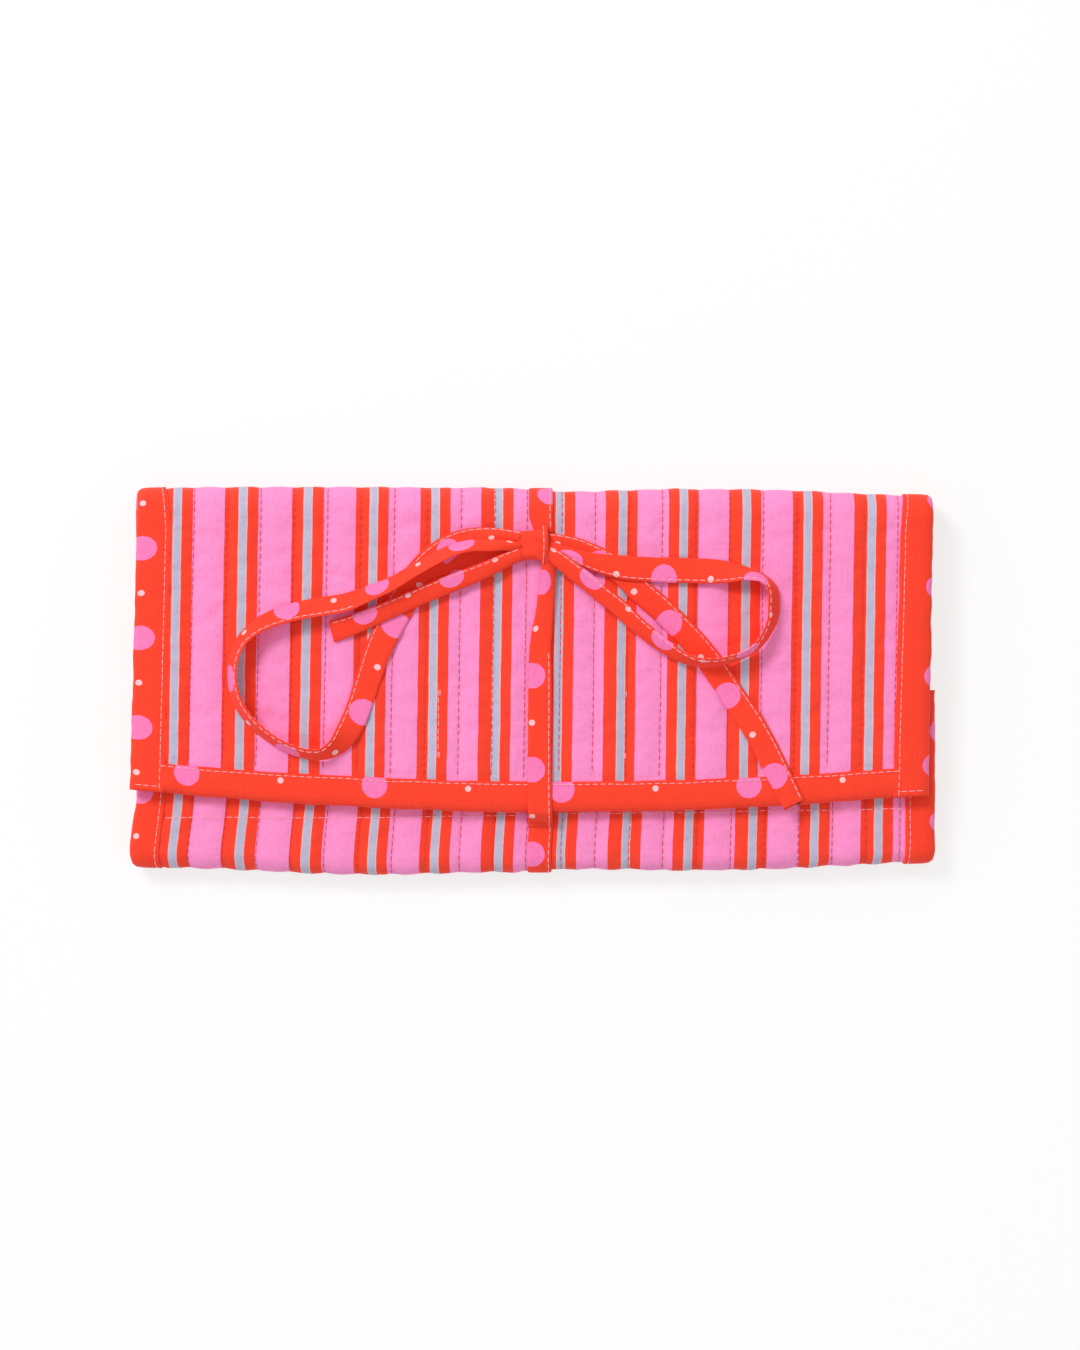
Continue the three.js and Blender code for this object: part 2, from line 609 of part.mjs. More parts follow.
function ringBar() {
  const end = barLength / 2;
  const leftTabZ = backInnerZ + bodyGap;
  const shoulderZ = leftTabZ + (1 - barShoulder) * barHeight;
  const stations = [
    [-end, barTabThickness, leftTabZ], [-end + barTabLength, barTabThickness, leftTabZ],
    [-end + barTabLength + barTaper / 3, barHeight * barShoulder, leftTabZ],
    [-end + barTabLength + barTaper, barHeight, leftTabZ], [0, barHeight, leftTabZ],
    [end - barTabLength - barTaper, barHeight, leftTabZ],
    [end - barTabLength - barTaper / 3, barHeight * barShoulder, shoulderZ],
    [end - barTabLength, barTabThickness, rightTabZ], [end, barTabThickness, rightTabZ],
  ];
  const section = (height) => Array.from({ length: barSides }, (_, side) => {
    const angle = (2 * Math.PI * side) / barSides;
    return [barWidth / 2 * Math.cos(angle), height / 2 * (1 + Math.sin(angle))];
  });
  const rings = stations.map(([x, height, lowZ]) => section(height).map(
    ([y, z]) => new THREE.Vector3(x, barCentreY + y, lowZ + z),
  ));
  const endOutline = outline(section(barTabThickness));
  return solidThrough(rings, endOutline, endOutline);
}

function pressStud() {
  const knobTop = studBaseThickness + studKnobHeight;
  const stud = [
    [0, 0], [studRadius, 0], [studRadius, studBaseThickness], [studKnobRadius, studBaseThickness],
    [studKnobRadius, knobTop], [0, knobTop],
  ];
  const bore = studKnobRadius + bodyGap;
  const socket = [[bore, 0], [studRadius, 0], [studRadius, socketHeight], [bore, socketHeight], [bore, 0]];
  const cap = [
    [0, 0], [studRadius, 0],
    [capEdge.radius * studRadius, capEdge.height * capHeight], [0, capHeight],
  ];
  const capZ = rightTabZ + barTabThickness + layerGap;
  return groupOf(
    piece("press_stud", turned(stud, studX, barCentreY, studLowZ), brassMetal),
    piece("press_socket", turned(socket, studX, barCentreY, socketLowZ), brassMetal),
    piece("press_cap", turned(cap, studX, barCentreY, capZ), brassMetal),
  );
}

const flapEndBinding = endBinding(flapEdgeY, 1, flapInnerZ, flapOuterZ);
const leafEndBinding = endBinding(leafEdgeY, -1, leafInnerZ, leafOuterZ);

const jewelryRoll = groupOf(
  ...Object.keys(stretches).map(quiltedStretch),
  piece("flap_end_binding", flapEndBinding, dottedCloth),
  piece("leaf_end_binding", leafEndBinding, dottedCloth),
  tieOnRoll(),
  slipPocket(),
  zipPocket(),
  zip(),
  piece("ring_bar", ringBar(), dottedCloth),
  pressStud(),
);

export default jewelryRoll;
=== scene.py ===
import math
import bmesh
import bpy
import numpy as np
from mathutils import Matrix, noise


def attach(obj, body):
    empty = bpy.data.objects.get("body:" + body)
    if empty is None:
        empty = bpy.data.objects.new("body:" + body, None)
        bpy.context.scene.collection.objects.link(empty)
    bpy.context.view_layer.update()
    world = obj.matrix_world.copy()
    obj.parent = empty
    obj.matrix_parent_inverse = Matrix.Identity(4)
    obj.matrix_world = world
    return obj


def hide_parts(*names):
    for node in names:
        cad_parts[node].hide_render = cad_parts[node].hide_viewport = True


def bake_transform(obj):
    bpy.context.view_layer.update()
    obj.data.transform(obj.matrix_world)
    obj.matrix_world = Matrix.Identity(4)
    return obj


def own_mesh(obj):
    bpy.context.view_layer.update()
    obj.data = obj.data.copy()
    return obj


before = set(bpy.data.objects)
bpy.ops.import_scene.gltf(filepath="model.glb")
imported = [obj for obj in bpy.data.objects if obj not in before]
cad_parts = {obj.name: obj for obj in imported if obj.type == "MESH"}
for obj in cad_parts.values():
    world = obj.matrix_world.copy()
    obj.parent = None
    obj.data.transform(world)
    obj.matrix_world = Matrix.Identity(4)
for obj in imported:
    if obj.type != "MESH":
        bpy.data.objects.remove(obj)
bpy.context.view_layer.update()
scene = bpy.context.scene
print("frame loaded:", len(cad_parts), "nodes")

mm = 0.001


# Shader wiring

def paint(red, green, blue):
    def linear(c):
        c /= 255
        return c / 12.92 if c <= 0.04045 else ((c + 0.055) / 1.055) ** 2.4
    return (linear(red), linear(green), linear(blue), 1)


class Wire:
    def __init__(self, look, socket):
        self.look, self.socket = look, socket

    def maths(self, operation, first, second):
        return self.look.node("ShaderNodeMath", {"operation": operation}, {0: first, 1: second})

    def __add__(self, other): return self.maths("ADD", self, other)
    def __radd__(self, other): return self.maths("ADD", other, self)
    def __sub__(self, other): return self.maths("SUBTRACT", self, other)
    def __rsub__(self, other): return self.maths("SUBTRACT", other, self)
    def __mul__(self, other): return self.maths("MULTIPLY", self, other)
    def __rmul__(self, other): return self.maths("MULTIPLY", other, self)
    def __truediv__(self, other): return self.maths("DIVIDE", self, other)
    def __rtruediv__(self, other): return self.maths("DIVIDE", other, self)
    def __mod__(self, other): return self.maths("FLOORED_MODULO", self, other)
    def __pow__(self, other): return self.maths("POWER", self, other)
    def __lt__(self, other): return self.maths("LESS_THAN", self, other)
    def __abs__(self): return self.maths("ABSOLUTE", self, 0)
    def top(self, other): return self.maths("MAXIMUM", self, other)
    def wave(self): return self.maths("SINE", self, 0)
    def whole(self): return self.maths("FLOOR", self, 0)


class Look:
    def __init__(self, name, fixed):
        self.material = bpy.data.materials.new(name)
        self.material.use_nodes = True
        self.tree = self.material.node_tree
        self.shader = self.tree.nodes["Principled BSDF"]
        self.feed(fixed)

    def plug(self, socket, value):
        if isinstance(value, Wire):
            self.tree.links.new(value.socket, socket)
        else:
            socket.default_value = value

    def feed(self, sockets):
        for name, value in sockets.items():
            self.plug(self.shader.inputs[name], value)

    def node(self, kind, settings, sockets, out=0):
        made = self.tree.nodes.new(kind)
        for name, value in settings.items():
            if name == "stops":
                self.fillRamp(made.color_ramp, value)
            else:
                setattr(made, name, value)
        for name, value in sockets.items():
            self.plug(made.inputs[name], value)
        return Wire(self, made.outputs[out])

    def fillRamp(self, ramp, stops):
        ramp.interpolation = "CONSTANT"
        ramp.elements.remove(ramp.elements[1])
        ramp.elements[0].position, ramp.elements[0].color = stops[0]
        for position, color in stops[1:]:
            ramp.elements.new(position).color = color

    def noise(self, vector, scale, detail=2.0):
        return self.node("ShaderNodeTexNoise", {}, {"Vector": vector, "Scale": scale, "Detail": detail})

    def mix(self, factor, first, second, blend="MIX"):
        settings = {"data_type": "RGBA", "blend_type": blend}
        return self.node("ShaderNodeMix", settings, {0: factor, 6: first, 7: second}, out=2)

    def grey(self, value):
        return self.node("ShaderNodeCombineColor", {}, {0: value, 1: value, 2: value})

    def clothPlace(self):
        flat = self.node("ShaderNodeUVMap", {"uv_map": "cloth"}, {})
        across = self.node("ShaderNodeSeparateXYZ", {}, {0: flat}, out="X")
        along = self.node("ShaderNodeSeparateXYZ", {}, {0: flat}, out="Y")
        return across * 1000, along * 1000

    def objectPlace(self):
        return self.node("ShaderNodeTexCoord", {}, {}, out="Object")

    def cloud(self, across, along, scaleX, scaleY, detail):
        place = self.node("ShaderNodeCombineXYZ", {}, {0: across * scaleX, 1: along * scaleY})
        return self.noise(place, 1.0, detail)

    def ramp(self, value, low, high):
        sockets = {"Value": value, "From Min": low, "From Max": high}
        return self.node("ShaderNodeMapRange", {"interpolation_type": "SMOOTHSTEP"}, sockets)

    def bump(self, height, distance):
        return self.node("ShaderNodeBump", {}, {"Distance": distance, "Height": height})


yarnTurn = 2 * math.pi / 0.42  # one wave per thread, 0.42 mm apart


# Plain weave: streaks of thicker and thinner thread, and the cloth's fine grain
def weave(look, across, along):
    warp = look.cloud(across, along, 2.6, 0.06, 1.0)
    weft = look.cloud(across, along, 0.09, 2.6, 1.0)
    patch = look.cloud(across, along, 0.05, 0.05, 3.0)
    slub = look.cloud(across, along, 1.1, 0.5, 2.0)
    tone = 0.82 + warp * 0.14 + weft * 0.12 + patch * 0.08
    threads = (across * yarnTurn).wave() * (along * yarnTurn).wave()
    return tone, slub, threads * 0.5 + warp * 0.6 + weft * 0.6


# A little thin dye: the cloth's shade goes deeper in places and keeps its brightest channel. Then tone scales it,
# which in the striped cloth also holds painted shade along the quilting rows
def dyed(look, color, tone, slub):
    deep = look.mix(1.0, color, (0.985, 0.8, 0.84, 1), "MULTIPLY")
    uneven = look.mix(look.ramp(slub, 0.42, 0.78) * 0.75, color, deep)
    return look.mix(1.0, uneven, look.grey(tone), "MULTIPLY")


stripe = {
    "repeat": 41.45, "start": -17.5, "wander": 0.45, "frayed": 0.16,
    "pulled": (3.1, 0.75), "lean": 0.6, "flapRun": (206.0, 302.0),  # how the cloth was pulled left and right
    "leafShift": (0.5, 1.1), "leafEnd": 62.05,
    "red": paint(253, 66, 42), "blue": paint(186, 186, 211), "hair": paint(238, 184, 188),
    "pink": paint(254, 147, 205),
    "bands": [("red", 4.3), ("hair", 0.3), ("blue", 2.3), ("hair", 0.35), ("red", 3.3), ("pink", 10.5),
              ("red", 3.65), ("hair", 0.3), ("blue", 2.3), ("hair", 0.35), ("red", 3.55), ("pink", 10.2)],
}
quilt = {
    "pitch": 11.13, "row": -1.8, "height": 0.72, "stitch": 2.55, "drawn": 1.6, "thread": paint(228, 30, 24),
    "bound": 10.5,  # cloth this near a free edge lies in its binding
}


def stripedCloth():
    look = Look("stripedCloth", {"Specular IOR Level": 0.25, "Sheen Weight": 0.12, "Sheen Roughness": 0.45})
    across, along = look.clothPlace()
    tone, slub, threads = weave(look, across, along)
    drift = look.cloud(across, along, 0.05, 0.11, 2.0) - 0.5
    frayed = look.cloud(across, along, 1.6, 1.6, 1.0) - 0.5
    leftward = look.ramp(across, -45.0, -125.0)
    spread = leftward * stripe["pulled"][0] + look.ramp(across, 0.0, 90.0) * stripe["pulled"][1]
    spread = spread - leftward * look.ramp(along, *stripe["flapRun"]) * stripe["lean"]
    leafShift = stripe["leafShift"][0] + look.ramp(across, -10.0, 80.0) * stripe["leafShift"][1]
    spread = spread - (along < stripe["leafEnd"]) * leafShift
    place = across + spread + drift * stripe["wander"] + frayed * stripe["frayed"] - stripe["start"]
    reach, stops = 0.0, []
    for name, width in stripe["bands"]:
        stops.append((reach / stripe["repeat"], stripe[name]))
        reach += width
    share = (place % stripe["repeat"]) / stripe["repeat"]
    bands = look.node("ShaderNodeValToRGB", {"stops": stops}, {0: share})
    fromRow = abs(((across - quilt["row"]) / quilt["pitch"] + 0.5) % 1 - 0.5) * quilt["pitch"]
    near = (1 - fromRow / quilt["drawn"]).top(0.0)
    drawn = near * near * ((along * (2 * math.pi / quilt["stitch"])).wave() * 0.5 + 0.5)
    crumple = look.cloud(across, along, 0.16, 0.42, 3.0)
    # Base colour: tone - near * near * 0.1 paints the cloth darker along each quilting row, painted shade of the soft
    # crease the row sews in
    look.feed({"Base Color": dyed(look, bands, tone - near * near * 0.1, slub), "Roughness": 0.8 + threads * 0.04,
               "Normal": look.bump(threads * 0.12 - drawn * 0.7 + crumple * 1.1, 0.00024)})
    return look.material


dots = {"cell": 31.0, "radius": 4.2, "speck": 1.0, "wobble": 0.35, "red": paint(254, 66, 40),
        "pink": paint(252, 126, 186), "pale": paint(247, 199, 204)}


def dottedCloth():
    look = Look("dottedCloth", {"Specular IOR Level": 0.25, "Sheen Weight": 0.1, "Sheen Roughness": 0.45})
    across, along = look.clothPlace()
    tone, slub, threads = weave(look, across, along)
    wobble = (look.cloud(across, along, 0.9, 0.9, 1.0) - 0.5) * dots["wobble"]
    cell = dots["cell"]
    inX = (across % cell) - cell / 2
    dropped = along + ((across / cell).whole() % 2) * (cell / 2)  # every second column is half a cell lower
    inY = (dropped % cell) - cell / 2
    offY = ((dropped + cell / 2) % cell) - cell / 2
    fromDot = (inX * inX + inY * inY) ** 0.5 + wobble
    fromSpeck = (inX * inX + offY * offY) ** 0.5 + wobble
    color = look.mix(fromDot < dots["radius"], dots["red"], dots["pink"])
    color = look.mix(fromSpeck < dots["speck"], color, dots["pale"])
    rumple = look.cloud(across, along, 0.2, 0.2, 3.0)
    look.feed({"Base Color": dyed(look, color, tone, slub), "Roughness": 0.8 + threads * 0.04,
               "Normal": look.bump(threads * 0.15 + rumple, 0.0002)})
    return look.material


def threadLook(name, color):
    look = Look(name, {"Sheen Weight": 0.2})
    fuzz = look.noise(look.objectPlace(), 2600.0, 1.0)
    look.feed({"Base Color": look.mix(1.0, color, look.grey(0.86 + fuzz * 0.26), "MULTIPLY"),
               "Roughness": 0.5 + fuzz * 0.2})
    return look.material


def tapeLook():
    look = Look("zipTapeCloth", {"Sheen Weight": 0.15})
    across, along = look.clothPlace()
    ribs = (along * (2 * math.pi / 0.8) + across * 3.5).wave() * 0.5 + 0.5
    color = look.mix(ribs, paint(228, 120, 172), paint(250, 160, 204))
    look.feed({"Base Color": color, "Roughness": 0.68 + ribs * 0.14, "Normal": look.bump(ribs, 0.00006)})
    return look.material


def plasticLook():
    look = Look("zipToothPlastic", {"Specular IOR Level": 0.45})
    mottle = look.noise(look.objectPlace(), 900.0)
    look.feed({"Base Color": look.mix(mottle, paint(226, 112, 160), paint(240, 132, 180)),
               "Roughness": 0.32 + mottle * 0.2})
    return look.material


def brassLook():
    look = Look("brass", {"Metallic": 1.0})
    spot = look.objectPlace()
    rubbed = look.noise(spot, 420.0, 4.0)
    stretched = look.node("ShaderNodeVectorMath", {"operation": "MULTIPLY"}, {0: spot, 1: (200.0, 3200.0, 3200.0)})
    scratch = look.noise(stretched, 1.0)
    look.feed({"Base Color": look.mix(rubbed, paint(196, 152, 82), paint(232, 196, 122)),
               "Roughness": 0.2 + rubbed * 0.18 + scratch * 0.08, "Normal": look.bump(scratch, 0.00001)})
    return look.material


striped, dotted = stripedCloth(), dottedCloth()
quiltThread = threadLook("quiltThread", quilt["thread"])
paleThread = threadLook("paleThread", paint(255, 178, 190))
tapeCloth, toothPlastic, brass = tapeLook(), plasticLook(), brassLook()
print("materials made")


# Mesh helpers

class Bag:
    def __init__(self):
        self.points, self.flat, self.faces, self.looks, self.count = [], [], [], [], 0

    def add(self, points, flat, faces, look=0):
        points = np.asarray(points, float).reshape(-1, 3)
        flat = np.zeros((len(points), 2)) if flat is None else np.asarray(flat, float).reshape(-1, 2)
        self.points.append(points)
        self.flat.append(flat)
        self.faces.extend([[i + self.count for i in face] for face in faces])
        self.looks.extend(look if isinstance(look, list) else [look] * len(faces))
        self.count += len(points)

    def tube(self, rings, flat):
        self.add(rings, flat, gridFaces(*rings.shape[:2], closed=True))
        for row in (0, -1):
            self.cap(rings[row], flat[row])

    def cap(self, points, flat):
        self.add(points, flat, [list(range(len(points)))])

    def strip(self, first, second, flat, look=0):
        self.add(np.stack([first, second]), np.stack([flat, flat]), gridFaces(2, len(flat)), look)


def gridFaces(rows, columns, closed=False):
    faces = []
    for row in range(rows - 1):
        for column in range(columns if closed else columns - 1):
            nextColumn = (column + 1) % columns
            a, b = row * columns, (row + 1) * columns
            faces.append((a + column, a + nextColumn, b + nextColumn, b + column))
    return faces


def makePiece(name, bag, looks):
    mesh = bpy.data.meshes.new(name)
    points, flat = np.concatenate(bag.points), np.concatenate(bag.flat)
    mesh.from_pydata((points * mm).tolist(), [], bag.faces)
    corners = np.empty(len(mesh.loops), np.int32)
    mesh.loops.foreach_get("vertex_index", corners)
    mesh.uv_layers.new(name="cloth").data.foreach_set("uv", (flat[corners] * mm).astype(np.float32).ravel())
    mesh.polygons.foreach_set("material_index", bag.looks)
    mesh.polygons.foreach_set("use_smooth", [True] * len(bag.faces))
    for look in looks:
        mesh.materials.append(look)
    working = bmesh.new()
    working.from_mesh(mesh)
    bmesh.ops.remove_doubles(working, verts=working.verts, dist=1e-7)
    bmesh.ops.recalc_face_normals(working, faces=working.faces)
    working.to_mesh(mesh)
    working.free()
    piece = bpy.data.objects.new(name, mesh)
    scene.collection.objects.link(piece)
    return piece


# A piece made from a bag with its looks, hiding the solids it stands for
def dress(name, bag, looks, slot, *nodes):
    piece = makePiece(name, bag, looks)
    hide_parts(*nodes)
    return piece


def dressDotted(name, bag, *nodes):
    return dress(name, bag, [dotted, paleThread], "dotted_cloth", *nodes)


def sameShape(*values):
    return np.broadcast_arrays(*(np.asarray(value, float) for value in values))


def grain(a, b, seed):
    a, b = sameShape(a, b)
    values = [noise.noise((p, q, seed)) for p, q in zip(a.ravel(), b.ravel())]
    return np.array(values).reshape(a.shape)


def ease(value, low, high):
    share = np.clip((np.asarray(value, float) - low) / (high - low), 0, 1)
    return share * share * (3 - 2 * share)


def unit(rows):
    return rows / np.linalg.norm(rows, axis=-1, keepdims=True)


def runAlong(line):
    return np.concatenate([[0], np.cumsum(np.linalg.norm(np.diff(line, axis=0), axis=1))])


def thereAndBack(over, under):
    return np.concatenate([over, under[:, ::-1]], 1)


def softLine(*pairs):
    xs = np.arange(-150.0, 150.1, 1.0)
    ys = np.interp(xs, [p[0] for p in pairs], [p[1] for p in pairs])
    weights = np.exp(-0.5 * (np.arange(-20, 21) / 8.0) ** 2)
    padded = np.pad(ys, 20, mode="edge")
    smooth = np.convolve(padded, weights / weights.sum(), mode="valid")
    return lambda x: np.interp(x, xs, smooth)


sewing = {
    "pitch": 2.55, "start": 0.6, "waver": 0.14, "sides": 5,
    "steps": np.array([-0.5, -0.3, 0, 0.3, 0.5]), "girth": np.array([0.45, 0.9, 1.0, 0.9, 0.45]),
    "lift": np.array([-0.9, 0.35, 0.7, 0.35, -0.9]),
}


# Running stitches along a line on a surface, each one sinking into the cloth at both ends
def stitchRow(bag, line, outward, look=1, length=2.3, radius=0.15):
    line = np.asarray(line, float)
    outward = np.broadcast_to(np.asarray(outward, float), line.shape)
    run = runAlong(line)
    middles = np.arange(sewing["start"] + length / 2, run[-1] - length / 2, sewing["pitch"])
    if not len(middles):
        return
    middles = middles + sewing["waver"] * grain(middles * 1.7, line[0, 0], 5.0)
    at = middles[:, None] + sewing["steps"][None] * length
    spot, out = (np.stack([np.interp(at, run, rows[:, k]) for k in range(3)], -1) for rows in (line, outward))
    out = unit(out)
    ahead = spot[:, -1] - spot[:, 0]
    side = unit(np.cross(out, ahead[:, None, :]))
    sides, rings = sewing["sides"], len(sewing["steps"])
    turn = np.arange(sides) * 2 * math.pi / sides
    ring = side[:, :, None] * np.cos(turn)[:, None] + out[:, :, None] * np.sin(turn)[:, None]
    ring = ring * (sewing["girth"] * radius)[:, None, None]
    points = spot[:, :, None] + out[:, :, None] * (sewing["lift"] * radius)[:, None, None] + ring
    last = sides * (rings - 1)
    one = gridFaces(rings, sides, closed=True) + [range(sides - 1, -1, -1), range(last, last + sides)]
    faces = [[i + sides * rings * k for i in face] for k in range(len(middles)) for face in one]
    bag.add(points, None, faces, look)


# The cloth of the whole roll as one run: leaf edge, leaf, bottom fold, back, top fold, flap, flap edge

roll = {
    "halfWidth": 132.5, "halfDepth": 63.5, "layerHalf": 131.6, "inner": 122.5, "lining": 2.5,
    "leafEdge": -3.5, "leafZ": 10.8, "backZ": 0.8, "flapZ": 16.1, "flapEdge": -41.5,
    "top": (55.05, 8.45, 7.65), "bottom": (-57.7, 5.8, 5.0),  # each fold's y, z and radius
}
topY, topZ, topRadius = roll["top"]
bottomY, bottomZ, bottomRadius = roll["bottom"]
tie = {"x": 2.3, "half": 3.8, "thick": 0.8, "stitch": 0.9, "floor": 16.9, "knotY": 43.2, "fray": 1.1}
leafRun = roll["leafEdge"] - bottomY
bottomRun = math.pi * bottomRadius
backStart = leafRun + bottomRun
topStart = backStart + topY - bottomY
flapStart = topStart + math.pi * topRadius
flapEnd = flapStart + topY - roll["flapEdge"]
bottomMiddle, topMiddle = leafRun + bottomRun / 2, (topStart + flapStart) / 2

# How the outline lies a little out of true: top fold, bottom fold and the flap's edge; then how the flap and the leaf
# lean at their left and right ends
lie = {
    "top": softLine((-132, -0.3), (-118, 0.9), (-80, 1.0), (-20, 0.8), (2, 0.5), (10, -1.2), (20, -0.5), (40, 0.4),
                    (80, 0.1), (132, -2.3)),
    "bottom": softLine((-132, 1.3), (-122, 0.6), (-100, 0), (-70, -1.6), (-49, -2.1), (-16, -1.1), (4, -0.9),
                       (11, 0.3), (18, 0), (60, -0.6), (100, 0.9), (132, 2.6)),
    "flap": softLine((-132, 5.6), (-123, 4.3), (-112, 3.0), (-100, 2.1), (-89, 1.0), (-44, -1.4), (-22, -2.3),
                     (0, -2.6), (38, -2.2), (59, -1.7), (100, 0.6), (115, 2.2), (132, 3.2)),
}
lean = {"flapLeft": (-0.9, 2.7), "flapRight": -1.7, "leafLeft": (0.7, -2.2), "leafRight": 0.9}


# Where a length of run lies, and which way the cloth faces there
def runPlace(s):
    s = np.asarray(s, float)
    flat, where = 0 * s, [s < leafRun, s < backStart, s < topStart, s < flapStart]
    bottomTurn = math.pi / 2 + (s - leafRun) / bottomRadius
    topTurn = -math.pi / 2 + (s - topStart) / topRadius
    outY = np.select(where, [flat, np.cos(bottomTurn), flat, np.cos(topTurn)], 0.0)
    outZ = np.select(where, [flat + 1, np.sin(bottomTurn), flat - 1, np.sin(topTurn)], 1.0)
    y = np.select(where, [roll["leafEdge"] - s, bottomY + bottomRadius * outY, bottomY + s - backStart,
                          topY + topRadius * outY], topY - (s - flapStart))
    z = np.select(where, [flat + roll["leafZ"], bottomZ + bottomRadius * outZ, flat + roll["backZ"],
                          topZ + topRadius * outZ], roll["flapZ"])
    return y, z, outY, outZ


def settle(x, y, flapShare, leafShare):
    top, bottom, edge = lie["top"](x), lie["bottom"](x), lie["flap"](x)
    deep = roll["halfDepth"]
    backUp = np.clip((y + deep) / (2 * deep), 0, 1)
    flapUp = np.clip((y - roll["flapEdge"]) / (deep - roll["flapEdge"]), 0, 1)
    leafDown = 1 - ease(y, -deep, -36)
    rest = np.clip(1 - flapShare - leafShare, 0, 1)
    moveY = flapShare * (edge + (top - edge) * flapUp) + leafShare * bottom * leafDown
    moveY = moveY + rest * (bottom + (top - bottom) * backUp)
    right = (x + roll["halfWidth"]) / (2 * roll["halfWidth"])
    flapLeft = lean["flapLeft"][0] + lean["flapLeft"][1] * flapUp
    leafLeft = lean["leafLeft"][0] + lean["leafLeft"][1] * ease(y, -38, -60)
    moveX = flapShare * (flapLeft * (1 - right) ** 2 + lean["flapRight"] * right * (1 - flapUp))
    moveX = moveX + leafShare * (leafLeft * (1 - right) + lean["leafRight"] * right)
    return moveX, moveY


def clothPoint(x, s, depth):
    x, s, depth = sameShape(x, s, depth)
    y, z, outY, outZ = runPlace(s)
    moveX, moveY = settle(x, y, ease(s, topStart, flapStart), 1 - ease(s, leafRun, backStart))
    return np.stack([x + moveX, y + moveY - outY * depth, np.maximum(z - outZ * depth, 0.03)], -1)


def clothOut(s):
    outY, outZ = runPlace(s)[2:]
    return np.stack([0 * outY, outY, outZ], -1)


def plainPoint(x, y, z):
    return np.stack(sameShape(x, y, z), -1)


def flapPoint(x, y, z):
    point = plainPoint(x, y, z)
    moveX, moveY = settle(point[..., 0], point[..., 1], 1.0, 0.0)
    return point + np.stack([moveX, moveY, 0 * moveX], -1)


def runSteps(start, end, step=1.25):
    return np.linspace(start, end, max(3, int(round((end - start) / step)) + 1))


# The outer cloth lies flat, is held at every second stitch of its rows and swells up between them. The trial cloth has
# a tenth of a unit per millimetre, a size at which the cloth solver works as usual
swell = {"scale": 0.1, "frames": 12, "looser": 0.016, "push": 4.0, "mass": 0.2, "stiff": 15.0, "shear": 5.0,
         "bend": 0.6, "perRow": 10}
fineStep = quilt["pitch"] / swell["perRow"]
quiltXs = quilt["row"] + fineStep * np.arange(-130, 131)
quiltXs = quiltXs[np.abs(quiltXs) < roll["layerHalf"] - 0.4]
quiltXs = np.concatenate([[-roll["layerHalf"]], quiltXs, [roll["layerHalf"]]])
quiltRows = quilt["row"] + quilt["pitch"] * np.arange(-12, 13)
quiltRows = quiltRows[np.abs(quiltRows) < roll["inner"] - 1]
quiltRuns = runSteps(0.6, flapEnd - 0.6)


def swollenCloth(x, s):
    bowed = np.sin(math.pi * (((x - quilt["row"]) / quilt["pitch"]) % 1))
    first = 0.05 * bowed + 0.03 * np.random.default_rng(5).random(x.shape)
    mesh = bpy.data.meshes.new("looseCloth")
    mesh.from_pydata((plainPoint(x, s, first).reshape(-1, 3) * swell["scale"]).tolist(), [], gridFaces(*x.shape))
    trial = bpy.data.objects.new("looseCloth", mesh)
    scene.collection.objects.link(trial)
    column = np.round((x - quilt["row"]) / fineStep).astype(int)
    held = (column % swell["perRow"] == 0) & (np.arange(len(x))[:, None] % 2 == 0)
    held |= (np.abs(x) > roll["inner"] + 1) | (s < quilt["bound"]) | (s > flapEnd - quilt["bound"])
    trial.vertex_groups.new(name="sewn").add([int(i) for i in np.flatnonzero(held)], 1.0, "REPLACE")
    cloth = trial.modifiers.new("cloth", "CLOTH")
    fabric = cloth.settings
    fabric.quality, fabric.mass, fabric.vertex_group_mass = 4, swell["mass"], "sewn"
    fabric.tension_stiffness = fabric.compression_stiffness = swell["stiff"]
    fabric.shear_stiffness, fabric.bending_stiffness = swell["shear"], swell["bend"]
    fabric.tension_damping = fabric.compression_damping = 10
    fabric.shrink_min = fabric.shrink_max = -swell["looser"]
    cloth.collision_settings.use_collision = False
    cloth.point_cache.frame_start, cloth.point_cache.frame_end = 1, swell["frames"]
    scene.gravity = (0, 0, swell["push"])
    for step in range(1, swell["frames"] + 1):
        scene.frame_set(step)
    rested = trial.evaluated_get(bpy.context.evaluated_depsgraph_get())
    spots = np.empty(3 * x.size)
    rested.data.vertices.foreach_get("co", spots)
    scene.gravity = (0, 0, -9.81)
    bpy.data.objects.remove(trial)
    bpy.data.meshes.remove(mesh)
    scene.frame_set(1)
    return spots[2::3].reshape(x.shape) / swell["scale"]


# The swollen height, livelier from channel to channel and pressed flat under the tie, the bindings and round the folds
def clothRelief():
    x, s = np.meshgrid(quiltXs, quiltRuns)
    lively = 1 + 0.25 * grain(np.floor((x - quilt["row"]) / quilt["pitch"]) * 3.7, s / 17, 3.0)
    body = swollenCloth(x, s) * lively + 0.05 * grain(x / 3.4, s / 5.5, 11.0) + 0.1 * grain(x / 20, s / 26, 5.0)
    press = ease(np.abs(x - tie["x"]), 3.6, 8.0) * ease(roll["inner"] + 2 - np.abs(x), 0, 3.5)
    press = press * ease(flapEnd - 9 - s, 0, 4) * ease(s - 9, 0, 4)
    drawn = 0.55 * np.exp(-((s - topMiddle) / 9) ** 2) + 0.35 * np.exp(-((s - bottomMiddle) / 6) ** 2)
    return np.clip(body * press * (1 - drawn), -0.1, 0.8)


relief = clothRelief()
print("cloth swollen: highest", round(float(relief.max()), 2), "mm")


def puff(x, s):
    x, s = sameShape(x, s)
    column = np.interp(x, quiltXs, np.arange(len(quiltXs)))
    step = np.interp(s, quiltRuns, np.arange(len(quiltRuns)))
    c, r = np.minimum(column.astype(int), len(quiltXs) - 2), np.minimum(step.astype(int), len(quiltRuns) - 2)
    u, v = column - c, step - r
    near = relief[r, c] * (1 - u) + relief[r, c + 1] * u
    far = relief[r + 1, c] * (1 - u) + relief[r + 1, c + 1] * u
    return near * (1 - v) + far * v


